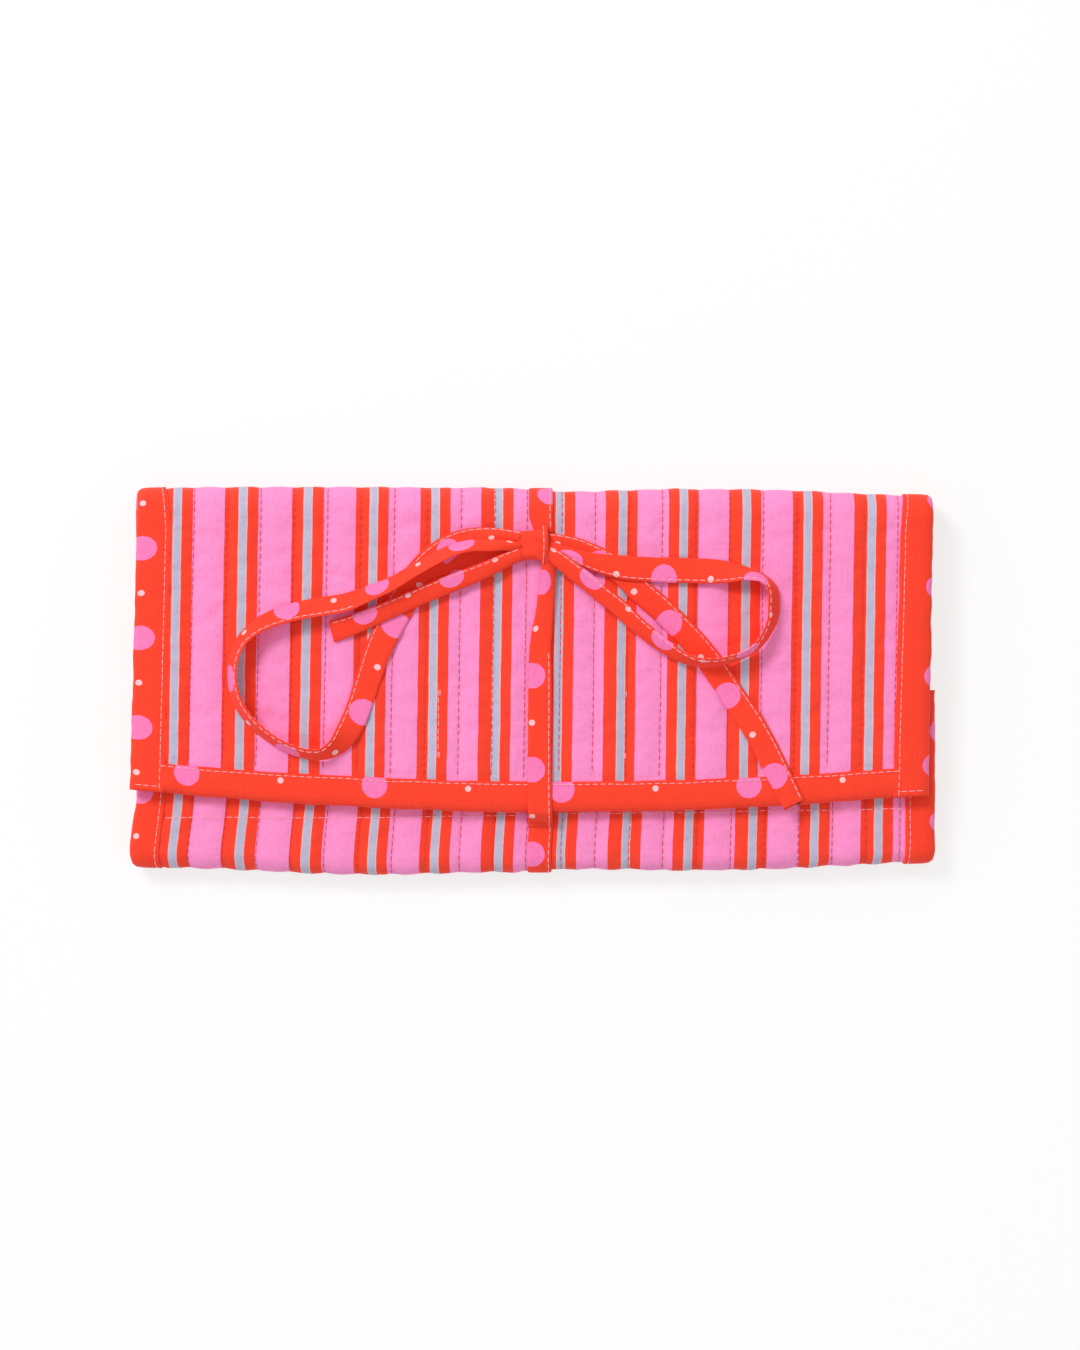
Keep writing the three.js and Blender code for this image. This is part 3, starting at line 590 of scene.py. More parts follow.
def sewThrough(bag, x, s, faceDepth, backDepth, **kind):
    for depth, way in ((faceDepth, 1), (backDepth, -1)):
        stitchRow(bag, clothPoint(x, s, depth), way * clothOut(s), **kind)


def liningDepth(height):
    return roll["lining"] + 0.4 * height


def quiltPiece(start, end, freeStart, freeEnd):
    bag = Bag()
    runs = runSteps(start, end)
    count = len(quiltXs)
    x, s = np.meshgrid(quiltXs, runs)
    height = puff(x, s)
    gap = roll["layerHalf"] - np.abs(x)
    gap = np.minimum(gap, s - start) if freeStart else gap
    gap = np.minimum(gap, end - s) if freeEnd else gap
    tuck = 0.9 * (1 - ease(gap, 0, 2.2))  # a cut edge is pressed thin inside its binding
    outer = clothPoint(x, s, tuck - height)
    lining = clothPoint(x, s, liningDepth(height) - tuck)
    flat = np.stack([x, s], -1)
    looks = [0 if c < count - 1 else 1 for _ in range(len(runs) - 1) for c in range(2 * count)]
    faces = gridFaces(len(runs), 2 * count, closed=True)
    bag.add(thereAndBack(outer, lining), thereAndBack(flat, flat), faces, looks)
    for free, row in ((freeStart, 0), (freeEnd, -1)):
        if free:
            bag.strip(outer[row], lining[row], flat[row], 1)
    fine = runSteps(start, end, 0.8)
    fine = fine[(fine > quilt["bound"]) & (fine < flapEnd - quilt["bound"])]
    for rowX in quiltRows:
        aside = 0.45 if abs(rowX - tie["x"]) < 4.4 else 0  # a row by the tie is pushed a little aside
        wander = rowX + 0.16 * grain(fine / 6, rowX, 13.0) - aside
        on = puff(wander, fine)
        sewThrough(bag, wander, fine, -on, liningDepth(on), look=2, length=2.35, radius=0.135)
    return bag


def addTopstitch(bag, x, s):
    stitchRow(bag, clothPoint(x, s, -puff(x, s)), clothOut(s), 3)


# A binding folded over an edge: distance from the edge and depth below the cloth, from its face round to its back
binding = {
    "stitch": 8.5, "middle": 127.5, "dots": {-1: (13.5, 13), 1: (17.6, 2)},
    "section": [(10.0, -0.05), (10.05, -0.45), (9.7, -0.72), (9.1, -0.74), (8.5, -0.62), (7.9, -0.76), (6.2, -0.84),
                (3.6, -0.84), (1.5, -0.62), (0.4, 0.2), (0.0, 1.4), (0.4, 2.6), (1.5, 3.4), (3.6, 3.6), (6.2, 3.6),
                (7.9, 3.55), (8.5, 3.42), (9.1, 3.54), (9.7, 3.52), (10.05, 3.25), (10.0, 2.85)],
}


def bindingSection(alongRun, seed):
    inward, depth = np.array(binding["section"]).T
    a, e = np.meshgrid(alongRun, inward, indexing="ij")
    ripple = grain(a / 7, e / 4, seed)
    waver = 0.3 * grain(a / 13, 0, seed + 7) + 0.22 * grain(a / 5, 0, seed + 9)
    e = e + ease(e, 6, 10) * 0.35 * grain(a / 10, 0, seed + 4) + (1 - ease(e, 2, 6)) * (waver + 0.15)
    t = np.broadcast_to(depth, a.shape) + np.where(depth < 1.4, -1, 1) * 0.16 * ripple * ease(e, 0.3, 2)
    return a, e, t


def sideBinding(side, start, end):
    bag = Bag()
    runs = runSteps(start, end, 1.3)
    a, e, t = bindingSection(runs, 20.0 + side)
    wider = 0.19 if side < 0 else 0.1 + 0.1 * ease(runs, flapStart, flapEnd)  # on the flap it is folded wider
    wide = 1 + wider * ease(runs, topMiddle, flapStart + 8)
    points = clothPoint(side * (roll["halfWidth"] - e * wide[:, None]), a, t)
    dotX, dotY = binding["dots"][side]
    bag.add(points, np.stack([e + dotX, a + dotY], -1), gridFaces(*a.shape, closed=True))
    onFlapEdge = end > flapEnd - 1
    for free, row in ((start < 1, 0), (onFlapEdge, -1)):
        if free:
            bag.cap(points[row], np.stack([e[row], t[row]], -1))
    rowX = side * (roll["halfWidth"] - binding["stitch"] * wide + 0.15 * grain(runs / 9, 0, 44.0 + side))
    sewThrough(bag, rowX, runs, -0.68, 3.48)
    if onFlapEdge:
        corner = np.linspace(roll["halfWidth"] - binding["stitch"] * wide[-1], roll["halfWidth"] - 0.8, 12) * side
        cornerRun = np.full(12, flapEnd - 2.0)
        stitchRow(bag, clothPoint(corner, cornerRun, -0.84), clothOut(cornerRun))
    return bag


def endBinding(edge, inward):
    bag = Bag()
    xs = np.linspace(-roll["inner"] - 0.6, roll["inner"] + 0.6, 190)
    a, e, t = bindingSection(xs, 31.0 + inward)
    bag.add(clothPoint(a, edge + inward * e, t), np.stack([a + 5, e + 8], -1), gridFaces(*a.shape, closed=True))
    wander = edge + inward * (binding["stitch"] + 0.6) + 0.35 * grain(xs / 14, 0, 40.0)
    sewThrough(bag, xs, wander, -0.7, 3.5)
    return bag


# A fold's line runs a little askew: its shift at the middle and how much more of it there is per millimetre of x
folds = {
    "top": {"y": topY, "z": topZ, "reach": 2.02, "line": (0.1, -0.006)},
    "bottom": {"y": bottomY, "z": bottomZ, "reach": 0.45, "line": (-0.2, 0.005)},
}
# Each stretch of cloth: its run, the two bodies it lies between, at which fold and to which side, and the names that
# its solids and its tie bands begin with
stretches = {
    "leaf": {"run": (1.4, bottomMiddle), "bodies": ("bottom_spine", "leaf"), "fold": "bottom", "lean": 1,
             "solids": ("leaf", "bottom_fold"), "bands": ("leaf", "bottom_fold")},
    "bottomFold": {"run": (bottomMiddle, backStart), "bodies": ("back", "bottom_spine"), "fold": "bottom", "lean": -1,
                   "solids": ("bottom_fold",), "bands": ("bottom_fold",)},
    "back": {"run": (backStart, topMiddle), "bodies": ("back", "top_spine"), "fold": "top", "lean": 1,
             "solids": ("back", "top_fold"), "bands": ("back", "top_fold")},
    "flap": {"run": (topMiddle, flapEnd - 1.4), "bodies": ("top_spine", "flap"), "fold": "top", "lean": -1,
             "solids": ("flap", "top_fold"), "bands": ("top", "top_fold")},
}
dividers = {"xs": (-30.7, 31.0), "ends": (-1.8, -24.9), "tack": 0.45}  # the pocket's seams that show on the flap


def bendWith(piece, stretch, at=None):
    fold = folds[stretch["fold"]]
    shift, askew = fold["line"] if at is None else (float(lie[stretch["fold"]](at)), 0.0)
    middle = np.array([0.0, fold["y"] + shift, fold["z"]])
    step = fold["reach"] * np.array([-askew * stretch["lean"], stretch["lean"], 1.0])
    (middle - step) * mm
    (middle + step) * mm
    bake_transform(piece)


for name, stretch in stretches.items():
    start, end = stretch["run"]
    bag = quiltPiece(start, end, freeStart=name == "leaf", freeEnd=name == "flap")
    if name == "leaf":
        acrossX = np.linspace(-roll["inner"], roll["inner"], 240)
        addTopstitch(bag, acrossX, 41.0 - acrossX / 80 + 0.4 * grain(acrossX / 30, 0, 2.0))
    if name == "flap":
        for dividerX in dividers["xs"]:
            divider = flapStart + topY - np.linspace(*dividers["ends"], 30)
            addTopstitch(bag, dividerX + 0.25 * grain(divider / 8, 0, 9.0), divider)
            for tack in (divider[:5], divider[-5:]):
                addTopstitch(bag, dividerX + dividers["tack"], tack)
    layers = [solid + "_" + layer for solid in stretch["solids"] for layer in ("outer_cloth", "wadding", "lining")]
    piece = dress(name + "Quilt", bag, [striped, dotted, quiltThread, paleThread], "striped_cloth", *layers)
    bendWith(piece, stretch)
    start, end = 0.0 if name == "leaf" else start, flapEnd if name == "flap" else end
    for side, word in ((-1, "left"), (1, "right")):
        strip = dressDotted(name + "Binding" + word.capitalize(), sideBinding(side, start, end),
                            *[solid + "_binding_" + word for solid in stretch["solids"]])
        bendWith(strip, stretch, at=side * binding["middle"])
    print("stretch sewn:", name)

for body, edge, inward in (("flap", flapEnd, -1), ("leaf", 0.0, 1)):
    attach(dressDotted(body + "EndBinding", endBinding(edge, inward), body + "_end_binding"), body)
print("end bindings sewn")


# Tie and bow

def tapeSection():
    across = np.array([-1, -0.94, -0.75, -0.4, 0, 0.4, 0.75, 0.94, 1])
    thick = (1 - np.abs(across) ** 8) ** 0.5
    return np.concatenate([across, across[-2:0:-1]]), np.concatenate([thick, -thick[-2:0:-1]])


# A flat, stitched tape. centre, across and facing are rows of points and directions; half is its half width
def tapeMesh(bag, centre, across, facing, half, cup=0.0, shift=(0.0, 0.0), stitched=1, seed=1.0, sides=(1, -1),
             full=1.0, bare=0.0, frayed=0.0):
    a, t = tapeSection()
    run = runAlong(centre)
    half, cup, full = (np.broadcast_to(np.asarray(value, float), run.shape) for value in (half, cup, full))
    thick = full * tie["thick"]
    wavy = 0.12 * grain(run[:, None] / 11, a[None] * 1.3, seed)
    edge = 1 + 0.025 * grain(run / 7, 0, seed + 3)
    side = (a[None] * (half * edge)[:, None])[..., None] * across[:, None]
    lift = t[None] * thick[:, None] / 2 + cup[:, None] * (1 - a[None] ** 2) + wavy
    points = centre[:, None] + side + lift[..., None] * facing[:, None]
    points[-1] += frayed * grain(a * 4.1, t * 0.6, seed + 8)[:, None] * (centre[-1] - centre[-2])
    flat = np.stack(sameShape(a[None] * tie["half"] + shift[0], run[:, None] + shift[1]), -1)
    bag.tube(points, flat)
    if stitched:
        at = stitched * (1 - tie["stitch"] / tie["half"])
        rowSide = (at * half * edge)[:, None] * across
        for face in sides:
            rise = face * thick * 0.48 + cup * (1 - at ** 2)
            row = (centre + rowSide + rise[:, None] * facing)[run >= bare]
            stitchRow(bag, row, face * facing[run >= bare], radius=0.17)
    return run[-1]


def curveThrough(points, step):
    points = np.asarray(points, float)
    count = len(points)
    ends = np.vstack([2 * points[0] - points[1], points, 2 * points[-1] - points[-2]])
    spots, shares, u = [], [], np.linspace(0, 1, 24, endpoint=False)[:, None]
    for i in range(count - 1):
        p0, p1, p2, p3 = ends[i:i + 4]
        d0, d1, d2 = (max(np.linalg.norm(b - a) ** 0.5, 1e-4) for a, b in ((p0, p1), (p1, p2), (p2, p3)))
        m1 = ((p1 - p0) / d0 - (p2 - p0) / (d0 + d1) + (p2 - p1) / d1) * d1
        m2 = ((p2 - p1) / d1 - (p3 - p1) / (d1 + d2) + (p3 - p2) / d2) * d1
        bend, swing = -3 * p1 + 3 * p2 - 2 * m1 - m2, 2 * p1 - 2 * p2 + m1 + m2
        spots.append(p1 + m1 * u + bend * u ** 2 + swing * u ** 3)
        shares.append(i + u[:, 0])
    spots, shares = np.vstack(spots + [points[-1:]]), np.append(np.concatenate(shares), count - 1.0)
    run = runAlong(spots)
    even = np.linspace(0, run[-1], int(round(run[-1] / step)) + 1)
    return np.stack([np.interp(even, run, spots[:, k]) for k in range(3)], -1), np.interp(even, run, shares), even


def routeFrames(route, step=1.1):
    xs, ys, lifts, rolls, halves = np.array(route, float).T
    tilt = np.radians(np.abs(rolls))
    heights = tie["floor"] + lifts + halves * np.sin(tilt) + tie["thick"] / 2 * np.abs(np.cos(tilt))
    centre, share, run = curveThrough(np.stack([xs, tie["knotY"] + ys, heights], -1), step)
    order = np.arange(len(route))
    turned, half = np.radians(np.interp(share, order, rolls)), np.interp(share, order, halves)
    ahead = unit(np.gradient(centre, axis=0))
    level = unit(np.cross([0, 0, 1.0], ahead))
    across = level * np.cos(turned)[:, None] + np.cross(ahead, level) * np.sin(turned)[:, None]
    return centre, across, np.cross(ahead, across), half


# A tape that lies level from side to side
def levelFrames(centre):
    across = np.tile([1.0, 0, 0], (len(centre), 1))
    facing = np.cross(across, unit(np.gradient(centre, axis=0)))
    return across, facing * np.sign(facing[:, 2:3] + 1e-6)


# Each stop on a tape: x, distance from the knot along y, lift off the flap, roll in degrees, half width
bow = {
    "leftLoop": [
        (-4, 0.5, 1.9, 12, 1.3), (-9, 0.9, 1.9, 32, 2), (-15, 0.8, 1.8, 45, 2.7), (-20.5, 0.8, 1.7, 52, 3.2),
        (-27, -0.9, 1.6, 57, 3.7), (-33, -3.9, 1.5, 58, 3.9), (-40, -7.9, 1.4, 57, 3.9), (-47, -12, 1.1, 54, 3.9),
        (-54, -14.8, 0.8, 48, 3.9), (-62, -17.9, 0.6, 38, 3.9), (-70, -19.2, 0.4, 35, 3.9),
        (-78, -20.7, 0.35, 37, 3.9), (-85, -22.8, 0.3, 42, 3.9), (-91.5, -26.2, 0.3, 52, 3.9),
        (-96.3, -31, 0.3, 60, 3.9), (-98.7, -38, 0.3, 64, 3.9), (-98.7, -45, 0.3, 65, 3.9),
        (-96.7, -51.5, 0.3, 65, 3.9), (-93.2, -56.6, 0.3, 65, 3.9), (-88, -61.3, 0.3, 66, 3.9),
        (-81.8, -65.2, 0.3, 67, 3.9), (-75.4, -67.5, 0.3, 67, 3.9), (-69.6, -67.8, 0.3, 62, 3.9),
        (-65, -65.4, 0.3, 42, 4), (-61.4, -60.9, 0.25, 18, 4.1), (-58.5, -55.2, 0.2, 4, 4.1),
        (-54.4, -43.2, 0.15, 0, 4.2), (-51, -33.2, 0.15, 0, 4.4), (-46, -22.9, 0.15, 0, 4.7),
        (-42, -15.6, 0.15, 0, 5.2), (-38, -9.9, 0.15, 0, 5.2), (-33.6, -4.5, 0.15, 0, 4.8),
        (-28.5, 0, 0.15, -2, 4.2), (-23.4, 2.6, 0.3, -4, 3.6), (-16.8, 4.2, 0.7, -6, 2.8), (-10, 4.3, 1.2, -6, 2.2),
        (-4, 3.5, 1.8, -4, 1.8)],
    "leftUnder": [
        (-8, -1.2, 1.1, 0, 2.2), (-14, -1.9, 0.8, 0, 2.7), (-20, -3.1, 0.5, 0, 3.1), (-26, -5.1, 0.3, 0, 3.3),
        (-31, -7.6, 0.2, 0, 3.2), (-36, -10.4, 0.15, 0, 2.8)],
    "rightLoop": [
        (4.4, -0.6, 2.8, 4, 1.9), (8.5, -3.7, 3, 10, 2.7), (13.2, -7.5, 2.9, 12, 2.9), (18, -11.1, 2.8, 14, 2.95),
        (23, -15.4, 2.6, 15, 2.95), (28, -19.2, 2.4, 17, 2.95), (33, -24, 2.2, 21, 2.9), (38.2, -28.4, 2, 28, 2.9),
        (43.8, -32.6, 1.8, 42, 3), (49, -35.7, 1.6, 58, 3.4), (54, -37.5, 1.5, 69, 3.8), (60, -37.6, 1.3, 73, 3.9),
        (65, -36.6, 1, 74, 3.9), (70, -34.8, 0.7, 75, 3.9), (74, -32, 0.4, 74, 3.9), (76.8, -28.2, 0.3, 68, 3.9),
        (78.9, -23.2, 0.3, 60, 3.9), (79.3, -19.2, 0.3, 57, 3.9), (79.2, -15.2, 0.3, 60, 3.9),
        (78, -11.9, 0.3, 68, 3.9), (75, -9.6, 0.3, 70, 3.9), (70, -8.3, 0.3, 54, 3.9), (65, -7.9, 0.4, 30, 4),
        (60, -7.6, 0.5, 12, 4.1), (50, -7.25, 0.7, 0, 4.15), (40, -7, 1.2, 0, 4.1), (30, -6.3, 1.6, 0, 4),
        (20, -4.5, 1.8, 4, 3), (12, -1.6, 1.9, 10, 1.9), (4.6, 1.2, 1.9, 8, 1.5)],
    "leftTail": [
        (-3.6, -1.6, 2.2, -6, 2.1), (-9, -3.9, 2.2, -10, 2.5), (-15, -6.8, 2.1, -12, 2.75),
        (-22, -9.6, 1.9, -12, 2.9), (-30, -12.8, 1.7, -12, 2.95), (-38, -16.1, 1.6, -12, 2.95),
        (-46, -19.5, 1.4, -12, 3.0), (-54, -23, 1.1, -10, 3.2), (-60, -25.4, 0.8, -8, 3.4),
        (-66.2, -27.4, 0.4, -6, 3.6)],
    "rightTail": [
        (4.4, 3.5, 1.3, 0, 1.6), (10, 2.1, 0.6, 0, 2.3), (14.5, 0.6, 0.3, 0, 2.9), (18.6, -1.6, 0.2, 0, 3.5),
        (23, -3.9, 0.15, 0, 3.9), (27.4, -6.6, 0.15, 0, 4), (31.6, -10, 0.15, 0, 4.1), (35.7, -14.3, 0.15, 0, 4.1),
        (42.1, -19.8, 0.15, 0, 4.1), (47, -24.6, 0.15, 0, 4.1), (52, -29.7, 0.15, 0, 4.1), (57, -35.5, 0.15, 0, 4.1),
        (62.6, -43.5, 0.15, 0, 4.1), (66.6, -49.5, 0.15, 0, 4.1), (71.5, -56.7, 0.15, 0, 4.1),
        (76.4, -65.2, 0.15, 0, 4.1), (81.3, -75, 0.15, 0, 4), (86.2, -84.6, 0.15, 0, 3.7)],
}


def bowTape(name, node, stitched, shift, cut=False, arched=0.9, bare=0.0):
    centre, across, facing, half = routeFrames(bow[name])
    bag = Bag()
    length = tapeMesh(bag, centre, across, facing, half, cup=arched * (1 - ease(half, 1.5, 3.8)), shift=shift,
                      stitched=stitched, seed=len(name) * 1.7, bare=bare, frayed=tie["fray"] if cut else 0.0)
    piece = dressDotted(name, bag, node)
    centre[0] * mm
    (centre * mm).tolist()
    return piece, centre


bag = Bag()
tapeMesh(bag, *routeFrames(bow["leftUnder"]), shift=(9.0, 27.0), stitched=0)
leftUnder = makePiece("leftLoopUnderfold", bag, [dotted])  # the loop's tape doubled under its strands
leftLoop, path = bowTape("leftLoop", "left_loop", 1, (17.0, 27.0), arched=1.5, bare=59.0)
for strand in (leftLoop, leftUnder):
    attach(strand, "flap")
    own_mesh(strand)
rightLoop, path = bowTape("rightLoop", "right_loop", 1, (13.0, 29.0))
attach(rightLoop, "flap")
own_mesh(rightLoop)
for side, stitched, shift in (("left", -1, (18.0, 22.0)), ("right", 1, (17.0, 27.0))):
    tail, path = bowTape(side + "Tail", side + "_tail", stitched, shift, cut=True)
    side + "_tail_end"
    path[4] * mm
    path[-1] * mm
    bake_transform(tail)
print("bow tied")


# The tie's band round the roll, from the leaf round the back to the knot
band = {
    "left": -1.65, "right": 6.25, "knotTop": flapStart + topY - 48.2, "gather": 6.5,
    "leafStart": roll["leafEdge"] - roll["flapEdge"] + 1.2, "leafDots": (18.0, 0.4),
}
for name, stretch in stretches.items():
    start, end = stretch["run"]
    start = band["leafStart"] if name == "leaf" else start
    end = band["knotTop"] if name == "flap" else end
    runs = runSteps(start, end, 1.0)
    narrow = ease(runs, end - band["gather"], end) if name == "flap" else 0 * runs
    left, right = band["left"] + 1.9 * narrow, band["right"] + 0.2 * narrow
    pressed = ease(runs, bottomMiddle, backStart) - ease(runs, topStart, topMiddle)  # the roll rests on it
    centre = clothPoint((left + right) / 2, runs, -0.45 + 0.42 * pressed)
    bag = Bag()
    tapeMesh(bag, centre, np.tile([1.0, 0, 0], (len(runs), 1)), clothOut(runs), (right - left) / 2, cup=0.8 * narrow,
             shift=band["leafDots"] if name == "leaf" else (12.5, start + 1), seed=8.0, sides=(1,))
    piece = dressDotted(name + "TieBand", bag, *["tie_" + node + "_band" for node in stretch["bands"]])
    bendWith(piece, stretch, at=tie["x"])

# From the knot down over the flap's edge: x, y, lift, half width; it is gathered near the knot and thin at its end
frontRoute = [(4.3, 39.4, 1.6, 1.6), (5.1, 37.3, 1.3, 2.4), (4.9, 34.2, 0.8, 2.5), (4.7, 31.4, 0.5, 2.55),
              (4.3, 27.5, 0.35, 2.75), (4.0, 23.8, 0.25, 2.9), (3.55, 20, 0.2, 3.1), (3.1, 17, 0.15, 3.3),
              (2.7, 13.5, 0.15, 3.45), (2.4, 10, 0.15, 3.6), (2.35, 4, 0.15, 3.8), (2.3, -3, 0.15, 3.9),
              (2.25, -12, 0.15, 3.9), (2.2, -26, 0.15, 3.9), (2.25, -41.6, 0.15, 3.95), (2.3, -44.2, 0.0, 3.95),
              (2.3, -45.6, -1.7, 3.95), (2.3, -46.6, -3.9, 3.95), (2.3, -47.6, -5.3, 3.95), (2.3, -49, -5.62, 3.95)]
frontXs, frontYs, frontLifts, frontHalves = np.array(frontRoute, float).T
frontPoints = np.stack([frontXs, frontYs, tie["floor"] + frontLifts + tie["thick"] / 2], -1)
centre, share, run = curveThrough(frontPoints, 0.8)
half = np.interp(share, np.arange(len(frontRoute)), frontHalves)
bag = Bag()
tapeMesh(bag, centre, *levelFrames(centre), half, cup=1.5 * (1 - ease(half, 1.2, 3.7)), shift=(18.0, 8.0), seed=6.0,
         sides=(1,), full=1 - 0.9 * ease(run, run[-1] - 3, run[-1]), bare=30.0)
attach(dressDotted("tieFrontBand", bag, "tie_front_band"), "flap")


# Knot: a gathered band that lies across, and the narrow turn of tape that goes over it
knot = {
    "left": -4.9, "right": 3.9, "low": 18.9, "crown": 2.6,
    "upper": ([-4.8, -4.2, -2, 1, 3.9], [47.8, 48.9, 49.0, 49.2, 49.6]),
    "lower": ([-4.8, -4.2, -2, 0.5, 2.2, 3.9], [40.0, 38.9, 39.4, 39.5, 38.9, 38.0]),
    "turnX": 3.9, "turnHalf": 0.95, "turnTop": 50.0, "turnRun": 11.4, "turnLow": 18.3, "turnRise": 3.6,
}
bag = Bag()
xs, js = np.linspace(knot["left"], knot["right"], 30), np.linspace(-1, 1, 37)
x, j = np.meshgrid(xs, js, indexing="ij")
along = (x - knot["left"]) / (knot["right"] - knot["left"])
upper, lower = np.interp(x, *knot["upper"]), np.interp(x, *knot["lower"])
y = (upper + lower) / 2 + j * (upper - lower) / 2
pleats = 0.22 * np.cos(j * 8.0 + 2.5 * along) * ease(along, 0.35, 1) + 0.14 * grain(x / 2.6, y / 1.8, 4.0)
crown = knot["crown"] * (1 - np.abs(j) ** 6) * (0.72 + 0.28 * ease(along, 0, 0.7))
z = knot["low"] + crown + pleats * (1 - j ** 4)
topSide, underSide = plainPoint(x, y, z), plainPoint(x, y, np.minimum(z - 0.5, knot["low"] - 1.6))
flat = np.stack([y * 0.9 - 33, x + 9], -1)
bag.tube(thereAndBack(topSide, underSide), thereAndBack(flat, flat))
turn = np.linspace(0, 1, 30)
bowed = np.sin(math.pi * turn)
turnCentre = plainPoint(knot["turnX"] + 0.25 * bowed, knot["turnTop"] - knot["turnRun"] * turn,
                        knot["turnLow"] + knot["turnRise"] * bowed ** 0.4)
turnAcross, turnFacing = levelFrames(turnCentre)
tapeMesh(bag, turnCentre, turnAcross, turnFacing, knot["turnHalf"], cup=0.35, shift=(9.0, 2.0), stitched=0, seed=3.0)
stitchRow(bag, turnCentre - turnAcross * 0.55 + turnFacing * 0.72, turnFacing, radius=0.17)
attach(dressDotted("bowKnot", bag, "bow_knot"), "flap")
print("tie and knot done")


# Pockets inside the flap and the leaf

def clothSlab(bag, low, high, z, thick, seed, point=plainPoint):
    xs = np.linspace(low[0], high[0], max(4, int((high[0] - low[0]) / 2.5)))
    ys = np.linspace(low[1], high[1], max(4, int((high[1] - low[1]) / 1.75)))
    x, y = np.meshgrid(xs, ys, indexing="ij")
    height = z + 0.06 * grain(x / 9, y / 9, seed)
    under, over = point(x, y, height - thick / 2), point(x, y, height + thick / 2)
    flat = np.stack([x, y], -1)
    faces = gridFaces(len(xs), 2 * len(ys), closed=True)
    bag.add(thereAndBack(under, over), thereAndBack(flat, flat), faces)
    for row in (0, -1):
        bag.strip(under[row], over[row], flat[row])


down, up = (0, 0, -1.0), (0, 0, 1.0)
slip = {"half": 122.2, "low": -31.2, "mouth": -1.5, "z": 12.15, "thick": 0.45, "divider": 31.0, "hem": 6.0}
half, low, mouth, hemLow = slip["half"], slip["low"], slip["mouth"], slip["mouth"] - slip["hem"]
slipFace = slip["z"] - slip["thick"] / 2
seamXs = np.linspace(-half + 1, half - 1, 120)
bag = Bag()
clothSlab(bag, (-half, low), (half, mouth), slip["z"], slip["thick"], 51.0, flapPoint)
for x in (-half + 1.2, -slip["divider"], slip["divider"], half - 1.2):
    stitchRow(bag, flapPoint(x, np.linspace(low + 1, mouth, 30), slipFace), down)
for y in (low + 1.2, hemLow + 0.8):
    stitchRow(bag, flapPoint(seamXs, y, slipFace), down)
slipPanel = dressDotted("slipPocketPanel", bag, "slip_pocket_panel", "slip_pocket_seams")
(mouth - low) * mm
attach(slipPanel, "flap")
bag = Bag()
clothSlab(bag, (-half, hemLow), (half, mouth + 0.3), slip["z"] + 0.42, 0.36, 53.0, flapPoint)
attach(dress("slipPocketHem", bag, [striped], "striped_cloth", "slip_pocket_hem"), "flap")

zipper = {
    "half": 122.2, "panel": (-46.4, -32.9), "frame": (-19.1, -13.8), "panelFace": 6.06, "frameFace": 6.65,
    "y": -23.5, "tapeHalf": 109.0, "tapeInner": 3.3, "tapeWidth": 6.0, "tapeSeam": 7.7,
}
half, (low, high), (frameLow, frameHigh) = zipper["half"], zipper["panel"], zipper["frame"]
bag = Bag()
clothSlab(bag, (-half, low), (half, high), 6.27, 0.42, 57.0)
clothSlab(bag, (-half, frameLow), (half, frameHigh), 6.9, 0.5, 58.0)
for y, face in ((low + 1.2, "panelFace"), (high - 0.9, "panelFace"), (frameHigh - 1.0, "frameFace")):
    stitchRow(bag, plainPoint(seamXs, y, zipper[face]), down)
for x in (-half + 1.2, half - 1.2):
    stitchRow(bag, plainPoint(x, np.linspace(low + 1, high, 16), zipper["panelFace"]), down)
zipPanel = dressDotted("zipPocketPanel", bag, "zip_pocket_panel", "zip_pocket_seams")
cutLength = high - low + frameHigh - frameLow
cutLength * mm
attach(zipPanel, "leaf")
for side, word in ((1, "upper"), (-1, "lower")):
    bag = Bag()
    inner = zipper["y"] + side * zipper["tapeInner"]
    low, high = sorted((inner, inner + side * zipper["tapeWidth"]))
    clothSlab(bag, (-zipper["tapeHalf"], low), (zipper["tapeHalf"], high), 6.3, 0.4, 60.0 + side)
    stitchRow(bag, plainPoint(seamXs[8:-8], zipper["y"] + side * zipper["tapeSeam"], 6.1), down)
    tape = dress("zipTape" + word.capitalize(), bag, [tapeCloth, paleThread], "zip_tape", "zip_tape_" + word)
    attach(tape, "leaf")
print("pockets sewn")


# Ring bar: a stuffed tube with a flat tab at each end. Each station: x, height, underside
bar = {
    "y": 24.0, "width": 13.0, "rest": 3.75, "sides": 36, "tabTop": 5.05, "tab": (-83, -72), "seams": (-82.2, -73.0),
    "stations": [(-84, 1.2, 3.9), (-71.5, 1.2, 3.9), (-70, 2.2, 3.9), (-68, 4.6, 3.9), (-62, 6.1, 3.9),
                 (-30, 6.2, 3.9), (0, 6.1, 3.95), (30, 6.2, 3.9), (62, 6.1, 3.9), (68, 4.7, 5.1), (70, 2.4, 5.9),
                 (71.5, 1.3, 6.1), (84, 1.2, 6.1)],
}


def plumpRound(wave):
    return np.sign(wave) * np.abs(wave) ** 0.85


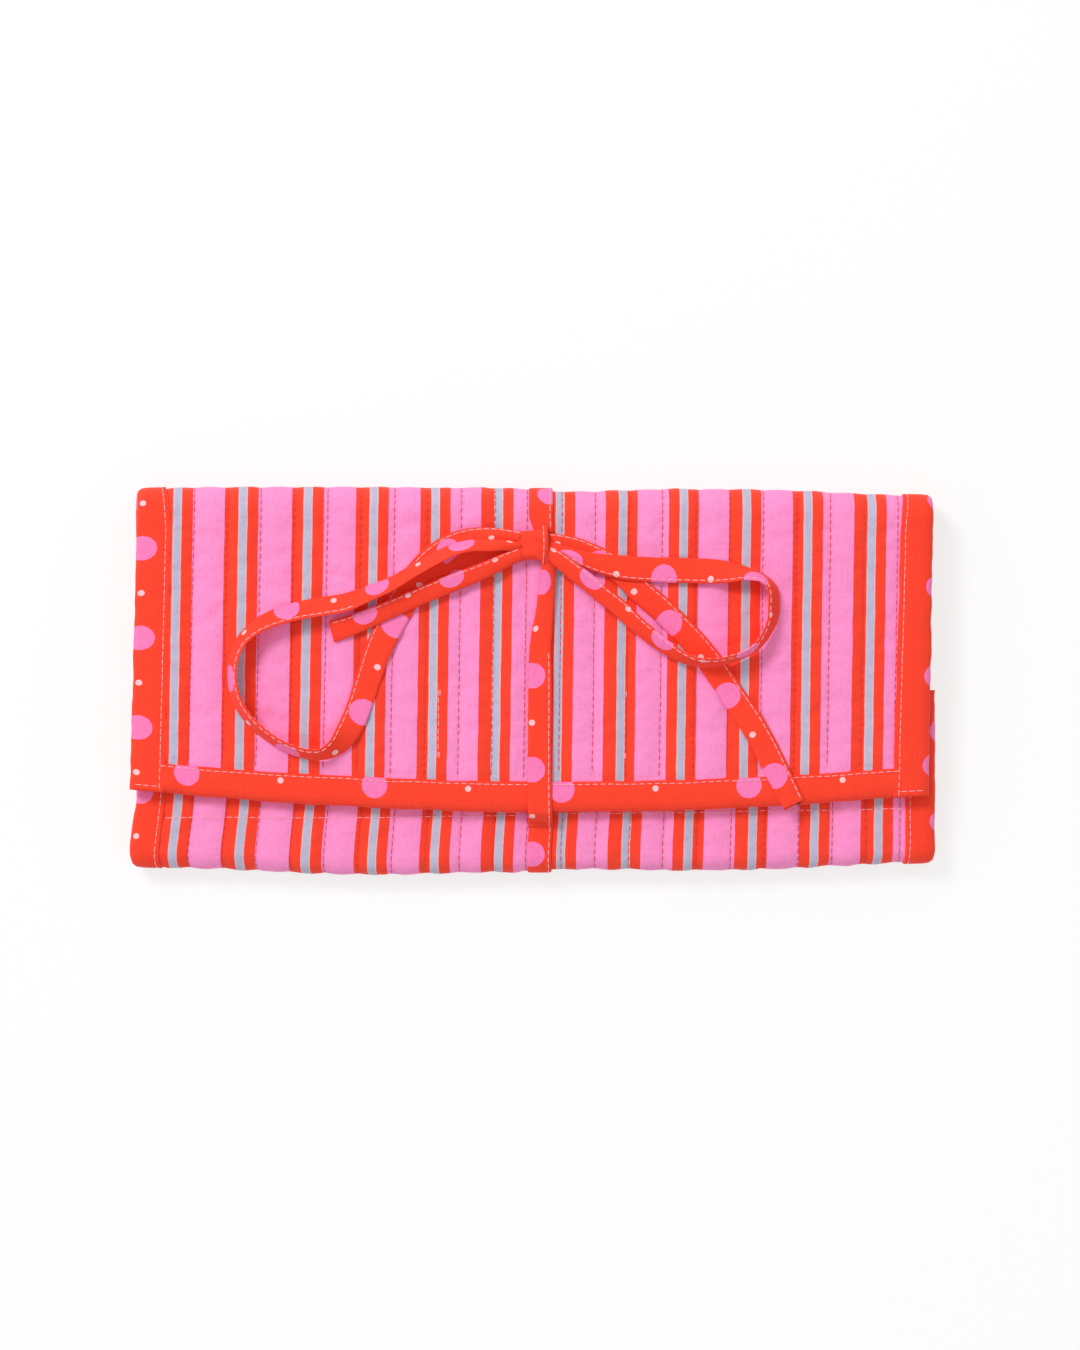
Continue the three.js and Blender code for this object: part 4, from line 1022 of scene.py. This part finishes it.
xs = np.concatenate([np.linspace(-84, -60, 26), np.linspace(-58, 58, 60), np.linspace(60, 84, 26)])
stationXs, stationHeights, stationLows = np.array(bar["stations"], float).T
height, low = np.interp(xs, stationXs, stationHeights), np.interp(xs, stationXs, stationLows)
angles = np.linspace(0, 2 * math.pi, bar["sides"], endpoint=False)
plump = 1 + 0.05 * grain(xs[:, None] / 13, angles[None], 71.0) * ease(height, 2, 5)[:, None]
gather = 0.18 * np.cos(angles[None] * 11) * np.exp(-((np.abs(xs) - 68) / 4.0) ** 2)[:, None]
ringY = bar["y"] + bar["width"] / 2 * plumpRound(np.cos(angles))[None] * (1 - 0.03 * (1 - plump))
ringZ = (low + height / 2)[:, None] + (height[:, None] / 2 * plump + gather) * plumpRound(np.sin(angles))[None]
bag = Bag()
bag.tube(plainPoint(xs[:, None], ringY, np.maximum(ringZ, bar["rest"])),
         np.stack(sameShape(angles[None] * 5.0, xs[:, None]), -1))
for y in (bar["y"] - 4.6, bar["y"] + 4.6):
    stitchRow(bag, plainPoint(np.linspace(*bar["tab"], 12), y, bar["tabTop"]), up)
for x in bar["seams"]:
    stitchRow(bag, plainPoint(x, np.linspace(bar["y"] - 5, bar["y"] + 5, 12), bar["tabTop"]), up)
ringBar = dressDotted("ringBar", bag, "ring_bar")
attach(ringBar, "bar")
print("ring bar stuffed")

hardware = {
    toothPlastic: ("zip_teeth_upper", "zip_teeth_lower"),
    brass: ("zip_stop_left", "zip_stop_right", "zip_slider", "zip_bail", "zip_pull", "press_stud", "press_socket",
            "press_cap"),
}
for look, nodes in hardware.items():
    for node in nodes:
        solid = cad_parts[node]
        solid.data.materials.clear()
        solid.data.materials.append(look)
        rounding = solid.modifiers.new("rounding", "BEVEL")
        rounding.width, rounding.segments, rounding.limit_method = 0.00012, 2, "ANGLE"


# Floor, light and camera

light = {"world": 0.66, "keyPlace": (-1.35, 1.5, 2.1), "keySize": 0.8, "keyPower": 45.0, "lift": 0.72}


def floorLook():
    look = Look("paleFloor", {"Roughness": 0.9, "Specular IOR Level": 0.1})
    cloud = look.noise(look.objectPlace(), 3.0)
    look.feed({"Base Color": look.mix(cloud, (0.93, 0.93, 0.93, 1), (0.96, 0.96, 0.96, 1))})
    glow = look.node("ShaderNodeEmission", {}, {"Color": (1, 1, 1, 1), "Strength": 1.0})
    straight, glossy, through = (look.node("ShaderNodeLightPath", {}, {}, out="Is " + ray + " Ray")
                                 for ray in ("Camera", "Glossy", "Transmission"))
    share = straight.top(glossy).top(through) * light["lift"]
    plain = Wire(look, look.shader.outputs[0])
    lifted = look.node("ShaderNodeMixShader", {}, {0: share, 1: plain, 2: glow})
    look.plug(look.tree.nodes["Material Output"].inputs["Surface"], lifted)
    return look.material


bpy.ops.mesh.primitive_plane_add(size=36, location=(0, 0, 0))
floor = bpy.context.object
floor.name = "floor"
floor.data.materials.append(floorLook())

world = bpy.data.worlds.new("studio")
scene.world = world
world.use_nodes = True
sky = world.node_tree.nodes["Background"]
sky.inputs["Color"].default_value = (1, 1, 1, 1)
sky.inputs["Strength"].default_value = light["world"]
lamp = bpy.data.lights.new("key", "AREA")
lamp.energy, lamp.size = light["keyPower"], light["keySize"]
key = bpy.data.objects.new("key", lamp)
key.location = light["keyPlace"]
scene.collection.objects.link(key)
key.rotation_mode = "QUATERNION"
key.rotation_quaternion = (-key.location).to_track_quat("-Z", "Y")

view = {"x": 2.3, "y": 1.5, "distance": 1400.0, "frame": 445.5, "plane": 16.0, "sensor": 36}
camera = bpy.data.cameras.new("camera")
camera.sensor_width = view["sensor"]
camera.lens = view["sensor"] * view["distance"] / view["frame"]
camera.clip_end = 20
eye = bpy.data.objects.new("camera", camera)
eye.location = (view["x"] * mm, view["y"] * mm, (view["plane"] + view["distance"]) * mm)
scene.collection.objects.link(eye)
scene.camera = eye
scene.view_settings.view_transform = "Standard"
